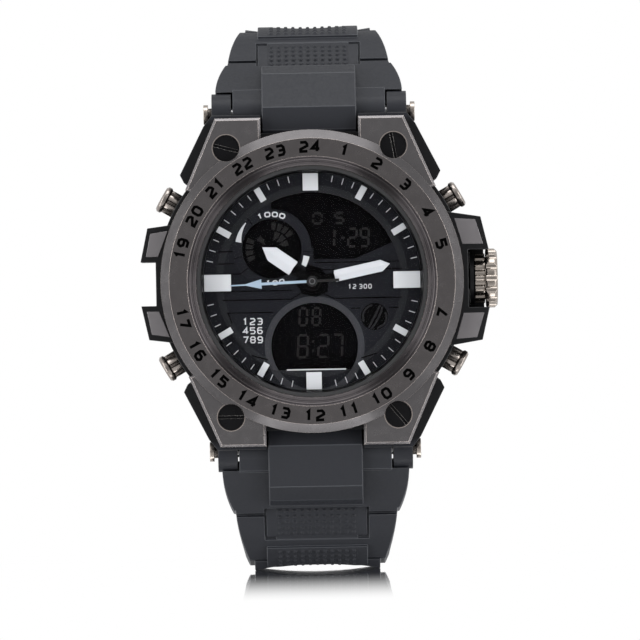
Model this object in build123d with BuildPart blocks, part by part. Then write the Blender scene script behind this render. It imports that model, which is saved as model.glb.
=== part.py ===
from build123d import *
import os
from math import cos, sin, radians, sqrt

os.makedirs("parts", exist_ok=True)

# Wristwatch with hands and a digital display, in millimetres.
# The origin is the middle of the case back's outer face, on the axis of the hands.
# +Z points to twelve o'clock, +X to the crown, and -Y out of the dial.
# A rise is a height above the case back's outer face, towards the dial.

# The bezel ring's radius drives the plan view: what lies across or along the watch
# is written for a ring of 23.55 and follows it.
ring_outer_r = 23.55
plan = ring_outer_r / 23.55

# The dial's seat drives the build-up from the back to the front in the same way:
# what lies along that direction is written for a seat at 9.8 and follows it.
dial_seat_rise = 9.8
stack = dial_seat_rise / 9.8

# Play and tool overrun
fit = 0.05
seat_gap = 0.02
swing_gap = 0.3
overrun = 1.0

# Case
back_thick = 1.6 * stack
back_r = 21.0 * plan
back_edge = 0.4
back_boss_rise = 0.4 * stack
back_gasket_width = 0.9
back_gasket_depth = 0.5 * stack
case_r = 24.2 * plan
case_top = 10.9 * stack
case_base_chamfer = 1.2 * stack
cavity_r = 17.2 * plan
border = 0.5
lug_end_z = 25.55 * plan
lug_inner_x = 7.6 * plan
lug_corner_x = 14.7 * plan
lug_tip_x = 19.5 * plan
lug_tip_z = 14.5 * plan
lug_root_x = 17.0 * plan
lug_root_z = 13.6 * plan
bumper_corner_x = 16.5 * plan
bumper_corner_z = 24.4 * plan
bumper_tip_x = 20.3 * plan
bumper_tip_z = 16.9 * plan
bumper_heel_x = 19.7 * plan
bumper_heel_z = 15.7 * plan

# Side guards, left (pushers only) and right (crown side)
guard_base = 3.2 * stack
guard_top = 12.2 * stack
guard_floor_x = 24.3 * plan
left_notch_z = 3.4 * plan
left_notch_x = 26.65 * plan
left_end_x = 25.5 * plan
left_end_z = 8.7 * plan
left_heel_x = 22.3 * plan
left_heel_z = 9.1 * plan
right_notch_z = 4.5 * plan
right_notch_x = 27.55 * plan
right_end_x = 26.35 * plan
right_end_z = 9.6 * plan
right_heel_x = 21.4 * plan
right_heel_z = 10.4 * plan
pad_rim = 0.85
pad_sink = 0.5
pad_proud = 0.1

# Bezel casting
plate_top = 12.8 * stack
plate_edge = 0.35
ring_face_outer_r = 22.2 * plan
ring_face_inner_r = 19.4 * plan
ring_inner_r = 18.0 * plan
ring_top = 15.5 * stack
ring_outer_drop = 1.3 * stack
ring_inner_drop = 1.2 * stack
ring_gap = 0.1

# Screws of the bezel and the case back
bezel_screw_x = 13.0 * plan
bezel_screw_z = 20.9 * plan
bezel_screw_head_r = 2.05
bezel_screw_head_thick = 0.7 * stack
bezel_screw_sink = 1.0 * stack
bezel_screw_r = 0.95
bezel_screw_depth = 4.2 * stack
bezel_screw_slot = 0.45
bezel_screw_slot_depth = 0.35 * stack
back_screw_circle_r = 19.55 * plan
back_screw_head_r = 1.1
back_screw_head_thick = 0.7 * stack
back_screw_sink = 0.8 * stack
back_screw_r = 0.6
back_screw_depth = 3.4 * stack
back_screw_count = 4
back_screw_start_angle = 45.0

# Crystal, its gasket and the ring round the dial
crystal_r = 17.35 * plan
crystal_thick = 1.7 * stack
crystal_edge = 0.3
gasket_r = 17.95 * plan
gasket_thick = 1.5 * stack
chapter_thick = 2.4 * stack
chapter_inner_r = 17.0 * plan
chapter_slope = 0.5

# Dial, its windows and markers
dial_r = 17.9 * plan
dial_thick = 0.5 * stack
dial_hole_r = 1.15
dial_raise = 0.22 * stack
dial_field_r = 13.9 * plan
dial_band_r = 15.0 * plan
low_window_x = 0.2 * plan
low_window_z = -10.1 * plan
low_window_r = 6.76 * plan
low_window_rim = 1.0 * plan
low_window_flat_z = -13.8 * plan
sub_dial_x = -6.2 * plan
sub_dial_z = 5.2 * plan
sub_window_r = 4.65 * plan
sub_ring_r = 6.12 * plan
sub_ring_rise = 0.18 * stack
upper_window_z = 3.41 * plan
upper_window_left_x = 0.26 * plan
upper_window_knee_x = 6.77 * plan
upper_window_end_x = 12.66 * plan
upper_window_end_z = 5.9 * plan
recess_x = 9.6 * plan
recess_z = -5.66 * plan
recess_r = 2.25 * plan
recess_depth = 0.25 * stack
groove_width = 0.5
groove_depth = 0.12 * stack
groove_top_z = -2.8 * plan
groove_low_z = -4.9 * plan
groove_inner_x = 4.9 * plan
groove_outer_x = 12.6 * plan
hour_angle = 30.0
marker_outer_r = 16.85 * plan
marker_rise = 0.55 * stack
marker_side_len = 4.2 * plan
marker_side_width = 2.6 * plan
marker_end_len = 2.7 * plan
marker_end_width = 2.4 * plan
marker_small_len = 2.25 * plan
marker_small_width = 1.0 * plan

# Display panel, module and battery
lcd_r = 15.2 * plan
lcd_thick = 1.1 * stack
lcd_gap = 0.1 * stack
lcd_hole_r = 1.3
holder_base = 4.3 * stack
holder_outer_r = 17.0 * plan
holder_inner_r = 14.6 * plan
movement_r = 10.0 * plan
movement_flat = 9.2 * plan
movement_base = 5.2 * stack
movement_top = 8.4 * stack
board_r = 14.3 * plan
board_thick = 0.8 * stack
connector_len = 12.0 * plan
connector_width = 1.2
connector_z = 12.2 * plan
battery_r = 10.0 * plan
battery_thick = 1.6 * stack
battery_base = 2.65 * stack
battery_x = 2.5 * plan
clip_width = 4.0
clip_thick = 0.2 * stack
clip_foot = 1.2
buzzer_r = 6.5 * plan
buzzer_thick = 0.25 * stack
buzzer_x = -7.5 * plan

# Pipes and hands
arbor_r = 0.25
minute_pipe_r = 0.6
hour_pipe_r = 1.0
hour_pipe_base = 7.9 * stack
minute_pipe_base = 7.5 * stack
arbor_base = 7.1 * stack
hand_thick = 0.2 * stack
second_thick = 0.15 * stack
hour_rise = 10.95 * stack
minute_rise = 11.4 * stack
second_rise = 11.85 * stack
hub_cap_rise = 12.25 * stack
hub_r = 1.55
hub_cap_r = 0.85
minute_hub_r = 1.34
hour_len = 9.4 * plan
hour_width = 2.45
hour_shoulder = 3.55 * plan
hour_neck = 1.5
hand_tip_share = 0.75
minute_len = 12.4 * plan
minute_width = 1.8
minute_shoulder = 3.65 * plan
minute_neck = 1.2
second_len = 12.8 * plan
second_tail = 4.2 * plan
second_width = 0.42
arrow_base = 7.9 * plan
arrow_tip = 10.4 * plan
arrow_width = 1.5
hour_clock_angle = 305.3
minute_clock_angle = 78.3
second_clock_angle = 267.9

# Crown and its stem, on the three o'clock axis
button_rise = 6.9 * stack
crown_inner_x = 25.4 * plan
crown_ring_end_x = 26.95 * plan
crown_ring_r = 3.9
crown_neck_r = 3.35
crown_flange_x = 27.1 * plan
crown_outer_x = 28.9 * plan
crown_flange_r = 4.65
crown_edge = 0.45
crown_flutes = 16
crown_flute_r = 0.55
crown_well_r = 2.3
crown_well_depth = 1.6
crown_flute_out = 0.2
tube_r = 1.7
collar_r = 4.15 * plan
collar_x = 24.62 * plan
collar_thick = 0.6
tube_inner_x = 19.0 * plan
tube_end_x = 26.6 * plan
stem_r = 0.6
stem_inner_x = 6.2 * plan
pinion_r = 1.5
pinion_x = 7.6 * plan
pinion_len = 2.0
pinion_teeth = 10
pinion_gap_r = 0.25
crown_gasket_r = 2.2
crown_gasket_len = 0.6

# Pushers, radial
pusher_angle = 30.0
pusher_outer_r = 26.9 * plan
pusher_spring_len = 1.4
pusher_cap_r = 2.15
pusher_cap_thick = 1.1
pusher_cap_edge = 0.3
pusher_barrel_r = 1.95
pusher_barrel_len = 1.9
pusher_flutes = 8
pusher_flute_r = 0.35
pusher_stem_r = 0.7
pusher_stem_inner = 15.7 * plan
pusher_travel = 0.8
sleeve_wall = 0.45
sleeve_inner = 18.0 * plan
sleeve_end_gap = 0.1
spring_r = 1.45
spring_inner_r = 0.95
spring_gap = 0.1
pusher_clip_r = 1.4
pusher_clip_thick = 0.25
pusher_clip_seat = 16.75 * plan
holder_slot = 1.8

# Strap bars and the ears that carry them
bar_z = 26.35 * plan
bar_rise = 6.5 * stack
bar_r = 0.9
bar_end_x = 14.2 * plan
ear_r = 3.2
ear_inner_x = 12.15 * plan
ear_outer_x = 15.2 * plan
bar_head_x = 15.8 * plan
bar_head_len = 0.7
bar_head_r = 1.55
bar_neck_r = 1.0
bar_slot = 0.4
bar_head_play = 0.15
bar_ledge_angle = 45.0

# Strap head: outward is away from the case along the strap, front is towards the dial
head_lean_angle = 10.0
block_half = 7.3 * plan
block_swing_r = 5.1
block_lip_out = -3.4
block_lip_front = 3.8
block_ridge_front = 4.9
block_knee_out = 6.04
block_knee_front = 1.73
block_end_out = 7.8
block_end_front = -0.86
block_tail_out = 8.3
block_tail_front = -4.4
block_heel_out = 4.3
block_heel_front = -3.9
knuckle_half = 11.9 * plan
knuckle_front = 2.0
knuckle_out = 3.5
strap_half = 14.6 * plan
wing_wall = 3.0
wing_end_out = 10.3 * plan
wing_end_front = -5.6 * plan
wing_heading_angle = -30.0
wing_arc_r = 13.5 * plan
first_wing_out = 8.72 * plan
first_wing_half = 13.0 * plan
second_wing_half = 12.7 * plan
second_wing_out = 15.66 * plan
third_wing_half = 10.7 * plan
last_wing_half = 9.9 * plan
wing_belly = 0.35
wing_groove_turn_angle = 2.6
wing_groove_depth = 0.5
wing_groove_start_angles = (66.2, 27.0)
crest_r = 60.0 * plan
crest_turn_angle = 15.0
upper_back_r = 30.0 * plan
lower_back_r = 32.4 * plan
back_turn_angle = 75.0
upper_straight = 1.3 * plan
lower_straight = 6.5 * plan
end_half = 9.4 * plan
trough_half = 8.2 * plan
trough_depth = 0.5
texture_half = 7.9 * plan
texture_sink = 0.12
texture_start_angle = 69.5
texture_turn_angle = 21.5
texture_strip_half = 6.4 * plan
texture_slot_angle = 2.5
second_texture_start_angle = 40.0
second_texture_turn_angle = 20.0
second_texture_proud = 0.45
arch_r = 50.0 * plan
upper_arch_depth = 1.1
lower_arch_depth = 1.9
upper_bed_step = 0.95
lower_bed_step = 0.1
hole_count = 7
hole_r = 1.1
hole_pitch = 6.0 * plan
hole_first = 11.0 * plan
tail_round = 6.0

# Buckle and keepers
buckle_bar_r = 0.7
buckle_knuckle_r = 1.7
buckle_half = 12.0 * plan
buckle_arm = 1.9
buckle_len = 12.6 * plan
buckle_end_width = 2.2
buckle_wall = 2.2
buckle_eye_reach = 1.3
buckle_round = 2.0
tongue_half = 1.2
tongue_slot_half = 1.6
tongue_thick = 1.0
tongue_len = 12.3 * plan
tongue_eye_r = 1.35
keeper_wall = 1.3
keeper_len = 5.0
keeper_tail_room = 3.4
fixed_keeper_turn_angle = 14.0
loose_keeper_turn_angle = 30.0
keeper_play = 0.25
loose_keeper_play = 0.5


def facing(rise):
    """Drawing plane seen from the front, at a rise above the case back's outer face."""
    return Plane.XZ.offset(rise)


def clock_plane(rise, clock):
    """Drawing plane on the dial whose y axis points at a clock angle in degrees."""
    turn = radians(clock)
    return Plane(origin=(0, -rise, 0), x_dir=(cos(turn), 0, -sin(turn)), z_dir=(0, -1, 0))


def across(outward, lean):
    """Side view of a strap half: x runs outward from the bar, y towards the dial."""
    tilt = radians(lean)
    side = 1 if outward > 0 else -1
    return Plane(
        origin=(0, -bar_rise, outward * bar_z),
        x_dir=(0, sin(tilt), side * cos(tilt)),
        z_dir=(side, 0, 0),
    )


def above(outward, lean):
    """Front view of a strap half: x runs across the strap, y outward from the bar."""
    tilt = radians(lean)
    side = 1 if outward > 0 else -1
    return Plane(
        origin=(0, -bar_rise, outward * bar_z),
        x_dir=(side, 0, 0),
        z_dir=(0, -cos(tilt), side * sin(tilt)),
    )


def save(piece, name):
    """Label a finished piece and write it as a file of its own."""
    piece.part.label = name
    export_step(piece.part, f"parts/{name}.step")


def marker_places():
    """Clock hour, length and width of each applied marker."""
    for hour in range(12):
        if hour in (3, 9):
            yield hour, marker_side_len, marker_side_width
        elif hour in (0, 6):
            yield hour, marker_end_len, marker_end_width
        else:
            yield hour, marker_small_len, marker_small_width


def button_plane(angle, reach):
    """Plane square to a pusher's axis, reach from the hands' axis, normal outwards."""
    turn = radians(angle)
    return Plane(
        origin=(reach * cos(turn), -button_rise, reach * sin(turn)),
        x_dir=(0, 1, 0),
        z_dir=(cos(turn), 0, sin(turn)),
    )


def stem_plane(reach):
    """Plane square to the crown's axis, reach from the hands' axis."""
    return button_plane(0, reach)


def pad_outlines(outward):
    """Outlines of the two pads of one end, let into the tops of the guards."""
    with BuildSketch() as outline:
        with BuildLine():
            Polyline(
                (-left_notch_x + pad_rim, outward * (left_notch_z + pad_rim)),
                (-guard_floor_x + pad_rim / 2, outward * (left_notch_z + pad_rim)),
                (-left_heel_x, outward * (left_end_z - pad_rim / 2)),
                (-left_end_x + pad_rim / 2, outward * (left_end_z - pad_rim)),
                close=True,
            )
        make_face()
        with BuildLine():
            Polyline(
                (right_notch_x - pad_rim, outward * (right_notch_z + pad_rim)),
                (guard_floor_x - pad_rim, outward * (right_notch_z + pad_rim)),
                (right_heel_x + pad_rim, outward * (right_end_z - pad_rim / 4)),
                (right_end_x - pad_rim, outward * (right_end_z - pad_rim / 2)),
                close=True,
            )
        make_face()
    return outline.sketch_local


barrel_inner = pusher_outer_r - pusher_cap_thick - pusher_barrel_len
pusher_pocket_floor = barrel_inner - pusher_travel - spring_gap - pusher_spring_len
pusher_places = {
    "upper_right": pusher_angle,
    "upper_left": 180 - pusher_angle,
    "lower_left": 180 + pusher_angle,
    "lower_right": -pusher_angle,
}

# Case body
with BuildPart() as case_body:
    with BuildSketch(facing(back_thick)):
        Circle(case_r)
        with BuildLine():
            Polyline(
                (0, lug_end_z + border),
                (lug_corner_x + border, lug_end_z + border),
                (bumper_corner_x, bumper_corner_z),
                (bumper_tip_x, bumper_tip_z),
                (bumper_heel_x, bumper_heel_z),
                (lug_root_x, lug_root_z),
                (0, lug_root_z),
                close=True,
            )
        make_face()
        mirror(about=Plane.YZ)
        mirror(about=Plane.XZ)
    extrude(amount=case_top - back_thick)
    chamfer(case_body.edges().group_by(Axis.Y)[-1], length=case_base_chamfer)
    # Side guards, with their tops let in for the pads
    with BuildSketch(facing(guard_base)):
        with BuildLine():
            Polyline(
                (-lug_root_x, 0),
                (-guard_floor_x, 0),
                (-guard_floor_x, left_notch_z),
                (-left_notch_x, left_notch_z),
                (-left_end_x, left_end_z),
                (-left_heel_x, left_heel_z),
                (-lug_root_x, left_heel_z),
                close=True,
            )
        make_face()
        with BuildLine():
            Polyline(
                (lug_root_x, 0),
                (guard_floor_x, 0),
                (guard_floor_x, right_notch_z),
                (right_notch_x, right_notch_z),
                (right_end_x, right_end_z),
                (right_heel_x, right_heel_z),
                (lug_root_x, right_heel_z),
                close=True,
            )
        make_face()
        mirror(about=Plane.XZ)
    extrude(amount=guard_top - guard_base)
    with BuildSketch(facing(case_top)):
        Circle(ring_outer_r + ring_gap)
    extrude(amount=guard_top, mode=Mode.SUBTRACT)
    # Ears for the strap bars
    for side in (-1, 1):
        for outward in (-1, 1):
            with BuildSketch(Plane.YZ.offset(side * (ear_inner_x + ear_outer_x) / 2)):
                with BuildLine():
                    inner_z = outward * (bar_z - ear_r - border)
                    Line((-bar_rise - ear_r, outward * bar_z), (-bar_rise - ear_r, inner_z))
                    Line((-bar_rise - ear_r, inner_z), (-bar_rise + ear_r, inner_z))
                    Line((-bar_rise + ear_r, inner_z), (-bar_rise + ear_r, outward * bar_z))
                    ThreePointArc(
                        (-bar_rise + ear_r, outward * bar_z),
                        (-bar_rise, outward * (bar_z + ear_r)),
                        (-bar_rise - ear_r, outward * bar_z),
                    )
                make_face()
            extrude(amount=(ear_outer_x - ear_inner_x) / 2, both=True)
    # Room for the strap heads between the lugs
    for outward in (-1, 1):
        with BuildSketch(Plane.YZ):
            with Locations((-bar_rise, outward * bar_z)):
                Circle(ear_r + swing_gap)
        extrude(amount=ear_inner_x, both=True, mode=Mode.SUBTRACT)
        with BuildSketch(Plane.YZ):
            with Locations((-bar_rise, outward * bar_z)):
                Circle(block_swing_r + swing_gap)
        extrude(amount=lug_inner_x, both=True, mode=Mode.SUBTRACT)
        with BuildSketch(Plane.YZ):
            with Locations((-bar_rise, outward * bar_z)):
                Circle(bar_r + fit)
        extrude(amount=ear_outer_x + overrun, both=True, mode=Mode.SUBTRACT)
        for side in (-1, 1):
            with BuildSketch(Plane.YZ.offset(side * ear_outer_x)):
                with Locations((-bar_rise, outward * bar_z)):
                    Circle(bar_head_r + bar_head_play)
            extrude(amount=side * bar_head_r, mode=Mode.SUBTRACT)
    # Cavity for the module, and the step that carries the dial
    with BuildSketch(facing(back_thick - overrun)):
        Circle(cavity_r)
    extrude(amount=case_top, mode=Mode.SUBTRACT)
    with BuildSketch(facing(dial_seat_rise)):
        Circle(dial_r + fit)
    extrude(amount=case_top, mode=Mode.SUBTRACT)
    # Pockets for the guard pads
    for outward in (-1, 1):
        with BuildSketch(facing(guard_top - pad_sink)):
            add(pad_outlines(outward))
        extrude(amount=guard_top, mode=Mode.SUBTRACT)
    # Holes for the crown tube and the pushers
    with BuildSketch(stem_plane(cavity_r - overrun)):
        Circle(tube_r + seat_gap)
    extrude(amount=case_r, mode=Mode.SUBTRACT)
    with BuildSketch(stem_plane(crown_ring_end_x)):
        Circle(crown_flange_r + swing_gap)
    extrude(amount=case_r, mode=Mode.SUBTRACT)
    for angle in pusher_places.values():
        with BuildSketch(button_plane(angle, cavity_r - overrun)):
            Circle(pusher_stem_r + sleeve_wall + fit)
        extrude(amount=case_r, mode=Mode.SUBTRACT)
        with BuildSketch(button_plane(angle, pusher_pocket_floor)):
            Circle(pusher_cap_r + fit)
        extrude(amount=case_r, mode=Mode.SUBTRACT)
    # Holes for the screws
    with BuildSketch(facing(case_top)):
        with GridLocations(2 * bezel_screw_x, 2 * bezel_screw_z, 2, 2):
            Circle(bezel_screw_r + fit)
    extrude(amount=-bezel_screw_depth - fit, mode=Mode.SUBTRACT)
    with BuildSketch(facing(back_thick)):
        with PolarLocations(back_screw_circle_r, back_screw_count, start_angle=back_screw_start_angle):
            Circle(back_screw_r + fit)
    extrude(amount=back_screw_depth, mode=Mode.SUBTRACT)
save(case_body, "case_body")

# Guard pads
with BuildPart() as guard_pads:
    for outward in (-1, 1):
        with BuildSketch(facing(guard_top - pad_sink)):
            add(pad_outlines(outward))
            offset(amount=-seat_gap)
        extrude(amount=pad_sink + pad_proud)
    with BuildSketch(facing(case_top)):
        Circle(ring_outer_r + ring_gap)
    extrude(amount=guard_top, mode=Mode.SUBTRACT)
save(guard_pads, "guard_pads")

# Bezel casting: four lug plates and the raised ring, in one piece
with BuildPart() as bezel:
    with BuildSketch(facing(case_top)):
        with BuildLine():
            Polyline(
                (lug_inner_x, lug_root_z),
                (lug_inner_x, lug_end_z),
                (lug_corner_x, lug_end_z),
                (lug_tip_x, lug_tip_z),
                (lug_root_x, lug_root_z),
                close=True,
            )
        make_face()
        mirror(about=Plane.YZ)
        mirror(about=Plane.XZ)
    extrude(amount=plate_top - case_top)
    chamfer(bezel.edges().group_by(Axis.Y)[0], length=plate_edge)
    with BuildSketch(Plane.XY):
        with BuildLine():
            Polyline(
                (lug_root_x, -case_top),
                (ring_outer_r, -case_top),
                (ring_outer_r, -ring_top + ring_outer_drop),
                (ring_face_outer_r, -ring_top),
                (ring_face_inner_r, -ring_top),
                (ring_inner_r, -ring_top + ring_inner_drop),
                (lug_root_x, -ring_top + ring_inner_drop),
                close=True,
            )
        make_face()
    revolve(axis=Axis.Y)
    with BuildSketch(facing(case_top - overrun)):
        Circle(ring_inner_r)
    extrude(amount=ring_top, mode=Mode.SUBTRACT)
    with BuildSketch(facing(plate_top - bezel_screw_sink)):
        with GridLocations(2 * bezel_screw_x, 2 * bezel_screw_z, 2, 2):
            Circle(bezel_screw_head_r + fit)
    extrude(amount=ring_top, mode=Mode.SUBTRACT)
    with BuildSketch(facing(case_top - overrun)):
        with GridLocations(2 * bezel_screw_x, 2 * bezel_screw_z, 2, 2):
            Circle(bezel_screw_r + fit)
    extrude(amount=ring_top, mode=Mode.SUBTRACT)
save(bezel, "bezel")

# Slotted corner screws; each came to rest with its slot at another angle
head_seat = plate_top - bezel_screw_sink
bezel_screw_turns = {(-1, 1): -15.0, (1, 1): 100.0, (-1, -1): 0.0, (1, -1): -50.0}
with BuildPart() as bezel_screws:
    with BuildSketch(facing(head_seat)):
        with GridLocations(2 * bezel_screw_x, 2 * bezel_screw_z, 2, 2):
            Circle(bezel_screw_head_r)
    extrude(amount=bezel_screw_head_thick)
    with BuildSketch(facing(head_seat)):
        with GridLocations(2 * bezel_screw_x, 2 * bezel_screw_z, 2, 2):
            Circle(bezel_screw_r)
    extrude(amount=-(head_seat - case_top + bezel_screw_depth))
    with BuildSketch(facing(head_seat + bezel_screw_head_thick - bezel_screw_slot_depth)):
        for (across_side, along_side), turn in bezel_screw_turns.items():
            with Locations((across_side * bezel_screw_x, along_side * bezel_screw_z)):
                Rectangle(4 * bezel_screw_head_r, bezel_screw_slot, rotation=turn)
    extrude(amount=bezel_screw_head_thick, mode=Mode.SUBTRACT)
save(bezel_screws, "bezel_screws")

# Crystal, gasket and chapter ring
chapter_top = dial_seat_rise + dial_thick + chapter_thick
with BuildPart() as crystal:
    with BuildSketch(facing(chapter_top)):
        Circle(crystal_r)
    extrude(amount=crystal_thick)
    chamfer(crystal.edges().group_by(Axis.Y)[0], length=crystal_edge)
save(crystal, "crystal")

with BuildPart() as crystal_gasket:
    with BuildSketch(facing(chapter_top)):
        Circle(gasket_r)
        Circle(crystal_r + seat_gap, mode=Mode.SUBTRACT)
    extrude(amount=gasket_thick)
save(crystal_gasket, "crystal_gasket")

with BuildPart() as chapter_ring:
    with BuildSketch(Plane.XY):
        with BuildLine():
            Polyline(
                (dial_r, -(dial_seat_rise + dial_thick)),
                (chapter_inner_r, -(dial_seat_rise + dial_thick)),
                (chapter_inner_r, -(chapter_top - chapter_slope)),
                (chapter_inner_r + chapter_slope / 2, -chapter_top),
                (dial_r, -chapter_top),
                close=True,
            )
        make_face()
    revolve(axis=Axis.Y)
save(chapter_ring, "chapter_ring")

# Dial with its raised field, band, windows and grooves
dial_top = dial_seat_rise + dial_thick
with BuildPart() as dial:
    with BuildSketch(facing(dial_seat_rise)):
        Circle(dial_r)
    extrude(amount=dial_thick)
    with BuildSketch(facing(dial_top)):
        Circle(dial_field_r - seat_gap)
        Circle(dial_band_r)
    extrude(amount=dial_raise)
    # Lower window, cut flat below
    with BuildSketch(facing(dial_seat_rise - overrun)):
        with Locations((low_window_x, low_window_z)):
            Circle(low_window_r)
        with Locations((low_window_x, low_window_flat_z - low_window_r)):
            Rectangle(4 * low_window_r, 2 * low_window_r, mode=Mode.SUBTRACT)
    extrude(amount=case_top, mode=Mode.SUBTRACT)
    # Bevelled rim round the lower window, above its flat
    with BuildSketch(Plane.XY.offset(low_window_z)):
        with BuildLine():
            Polyline(
                (low_window_x, -dial_top),
                (low_window_x + low_window_r, -dial_top),
                (low_window_x + low_window_r + low_window_rim, -dial_top - dial_raise),
                (low_window_x, -dial_top - dial_raise),
                close=True,
            )
        make_face()
    low_window_axis = Axis((low_window_x, 0, low_window_z), (0, 1, 0))
    revolve(axis=low_window_axis, mode=Mode.SUBTRACT)
    with BuildSketch(facing(dial_top)):
        with Locations((low_window_x, low_window_z)):
            Circle(low_window_r + low_window_rim)
        with Locations((low_window_x, low_window_flat_z + 2 * low_window_r)):
            Rectangle(4 * low_window_r, 4 * low_window_r, mode=Mode.SUBTRACT)
        Circle(dial_band_r, mode=Mode.INTERSECT)
    extrude(amount=dial_raise)
    # Sub-dial window
    with BuildSketch(facing(dial_seat_rise - overrun)):
        with Locations((sub_dial_x, sub_dial_z)):
            Circle(sub_window_r)
    extrude(amount=case_top, mode=Mode.SUBTRACT)
    # Upper window, bounded by the field's rim and the sub-dial
    with BuildSketch(facing(dial_seat_rise - overrun)):
        Circle(dial_field_r)
        with BuildLine():
            Polyline(
                (sub_dial_x, dial_r),
                (sub_dial_x, sub_dial_z),
                (upper_window_left_x, sub_dial_z),
                (upper_window_left_x, upper_window_z),
                (upper_window_knee_x, upper_window_z),
                (upper_window_end_x, upper_window_end_z),
                (dial_r, dial_r),
                close=True,
            )
        make_face(mode=Mode.INTERSECT)
        with Locations((sub_dial_x, sub_dial_z)):
            Circle(sub_ring_r + fit, mode=Mode.SUBTRACT)
    extrude(amount=case_top, mode=Mode.SUBTRACT)
    # Seat of the sub-dial ring, seats of the markers, hole for the hands
    with BuildSketch(facing(dial_top)):
        with Locations((sub_dial_x, sub_dial_z)):
            Circle(sub_ring_r + seat_gap)
    extrude(amount=case_top, mode=Mode.SUBTRACT)
    for hour, length, width in marker_places():
        with BuildSketch(clock_plane(dial_top, hour_angle * hour)):
            with Locations((0, marker_outer_r - length / 2)):
                Rectangle(width + 2 * seat_gap, length + 2 * seat_gap)
        extrude(amount=case_top, mode=Mode.SUBTRACT)
    with BuildSketch(facing(dial_seat_rise - overrun)):
        Circle(dial_hole_r)
    extrude(amount=case_top, mode=Mode.SUBTRACT)
    # Grooves and the round recess
    with BuildSketch(facing(dial_top + dial_raise - groove_depth)):
        for side in (-1, 1):
            for height in (groove_top_z, groove_low_z):
                with Locations((side * (groove_inner_x + groove_outer_x) / 2, height)):
                    Rectangle(groove_outer_x - groove_inner_x, groove_width)
    extrude(amount=case_top, mode=Mode.SUBTRACT)
    with BuildSketch(facing(dial_top + dial_raise - recess_depth)):
        with Locations((recess_x, recess_z)):
            Circle(recess_r)
    extrude(amount=case_top, mode=Mode.SUBTRACT)
save(dial, "dial")

with BuildPart() as sub_dial_ring:
    with BuildSketch(facing(dial_top)):
        with Locations((sub_dial_x, sub_dial_z)):
            Circle(sub_ring_r)
            Circle(sub_window_r, mode=Mode.SUBTRACT)
    extrude(amount=dial_raise + sub_ring_rise)
save(sub_dial_ring, "sub_dial_ring")

with BuildPart() as hour_markers:
    for hour, length, width in marker_places():
        with BuildSketch(clock_plane(dial_top, hour_angle * hour)):
            with Locations((0, marker_outer_r - length / 2)):
                Rectangle(width, length)
        extrude(amount=marker_rise)
save(hour_markers, "hour_markers")

# Display panel behind the dial, on its conductive rubber connectors
lcd_base = dial_seat_rise - lcd_gap - lcd_thick
with BuildPart() as display_panel:
    with BuildSketch(facing(lcd_base)):
        Circle(lcd_r)
        Circle(lcd_hole_r, mode=Mode.SUBTRACT)
    extrude(amount=lcd_thick)
save(display_panel, "display_panel")

board_top = holder_base + board_thick
with BuildPart() as display_connectors:
    with BuildSketch(facing(board_top)):
        with GridLocations(0, 2 * connector_z, 1, 2):
            Rectangle(connector_len, connector_width)
    extrude(amount=lcd_base - board_top)
save(display_connectors, "display_connectors")

with BuildPart() as movement_holder:
    with BuildSketch(facing(holder_base)):
        Circle(holder_outer_r)
        Circle(holder_inner_r, mode=Mode.SUBTRACT)
    extrude(amount=dial_seat_rise - holder_base)
    with BuildSketch(facing(lcd_base)):
        Circle(lcd_r + fit)
    extrude(amount=case_top, mode=Mode.SUBTRACT)
    for angle in pusher_places.values():
        with BuildSketch(button_plane(angle, holder_inner_r - overrun)):
            Circle(holder_slot)
        extrude(amount=case_r, mode=Mode.SUBTRACT)
    with BuildSketch(stem_plane(holder_inner_r - overrun)):
        Circle(stem_r + swing_gap)
    extrude(amount=case_r, mode=Mode.SUBTRACT)
save(movement_holder, "movement_holder")

with BuildPart() as circuit_board:
    with BuildSketch(facing(holder_base)):
        Circle(board_r)
    extrude(amount=board_thick)
save(circuit_board, "circuit_board")

# Analogue movement: a closed block with the stem's entry and the stepped bore of the pipes
with BuildPart() as analog_movement:
    with BuildSketch(facing(movement_base)):
        Circle(movement_r)
        Rectangle(2 * movement_r, 2 * movement_flat, mode=Mode.INTERSECT)
    extrude(amount=movement_top - movement_base)
    with BuildSketch(stem_plane(stem_inner_x - fit)):
        Circle(stem_r + fit)
    extrude(amount=case_r, mode=Mode.SUBTRACT)
    with BuildSketch(stem_plane(pinion_x - fit)):
        Circle(pinion_r + fit)
    extrude(amount=pinion_len + 2 * fit, mode=Mode.SUBTRACT)
    for pipe_r, pipe_base in (
        (hour_pipe_r, hour_pipe_base),
        (minute_pipe_r, minute_pipe_base),
        (arbor_r, arbor_base),
    ):
        with BuildSketch(facing(pipe_base - fit)):
            Circle(pipe_r + fit)
        extrude(amount=case_top, mode=Mode.SUBTRACT)
save(analog_movement, "analog_movement")

# Battery, its clip and the buzzer
with BuildPart() as battery:
    with BuildSketch(facing(battery_base)):
        with Locations((battery_x, 0)):
            Circle(battery_r)
    extrude(amount=battery_thick)
save(battery, "battery")

with BuildPart() as battery_clip:
    clip_reach = battery_r + clip_thick + swing_gap
    with BuildSketch(facing(battery_base - clip_thick)):
        with Locations((battery_x, 0)):
            Rectangle(clip_width, 2 * clip_reach)
    extrude(amount=clip_thick)
    for side in (-1, 1):
        with BuildSketch(facing(battery_base - clip_thick)):
            with Locations((battery_x, side * (clip_reach - clip_thick / 2))):
                Rectangle(clip_width, clip_thick)
        extrude(amount=holder_base - battery_base + clip_thick)
        with BuildSketch(facing(holder_base - clip_thick)):
            with Locations((battery_x, side * (clip_reach + clip_foot / 2 - clip_thick))):
                Rectangle(clip_width, clip_foot)
        extrude(amount=clip_thick)
save(battery_clip, "battery_clip")

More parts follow.
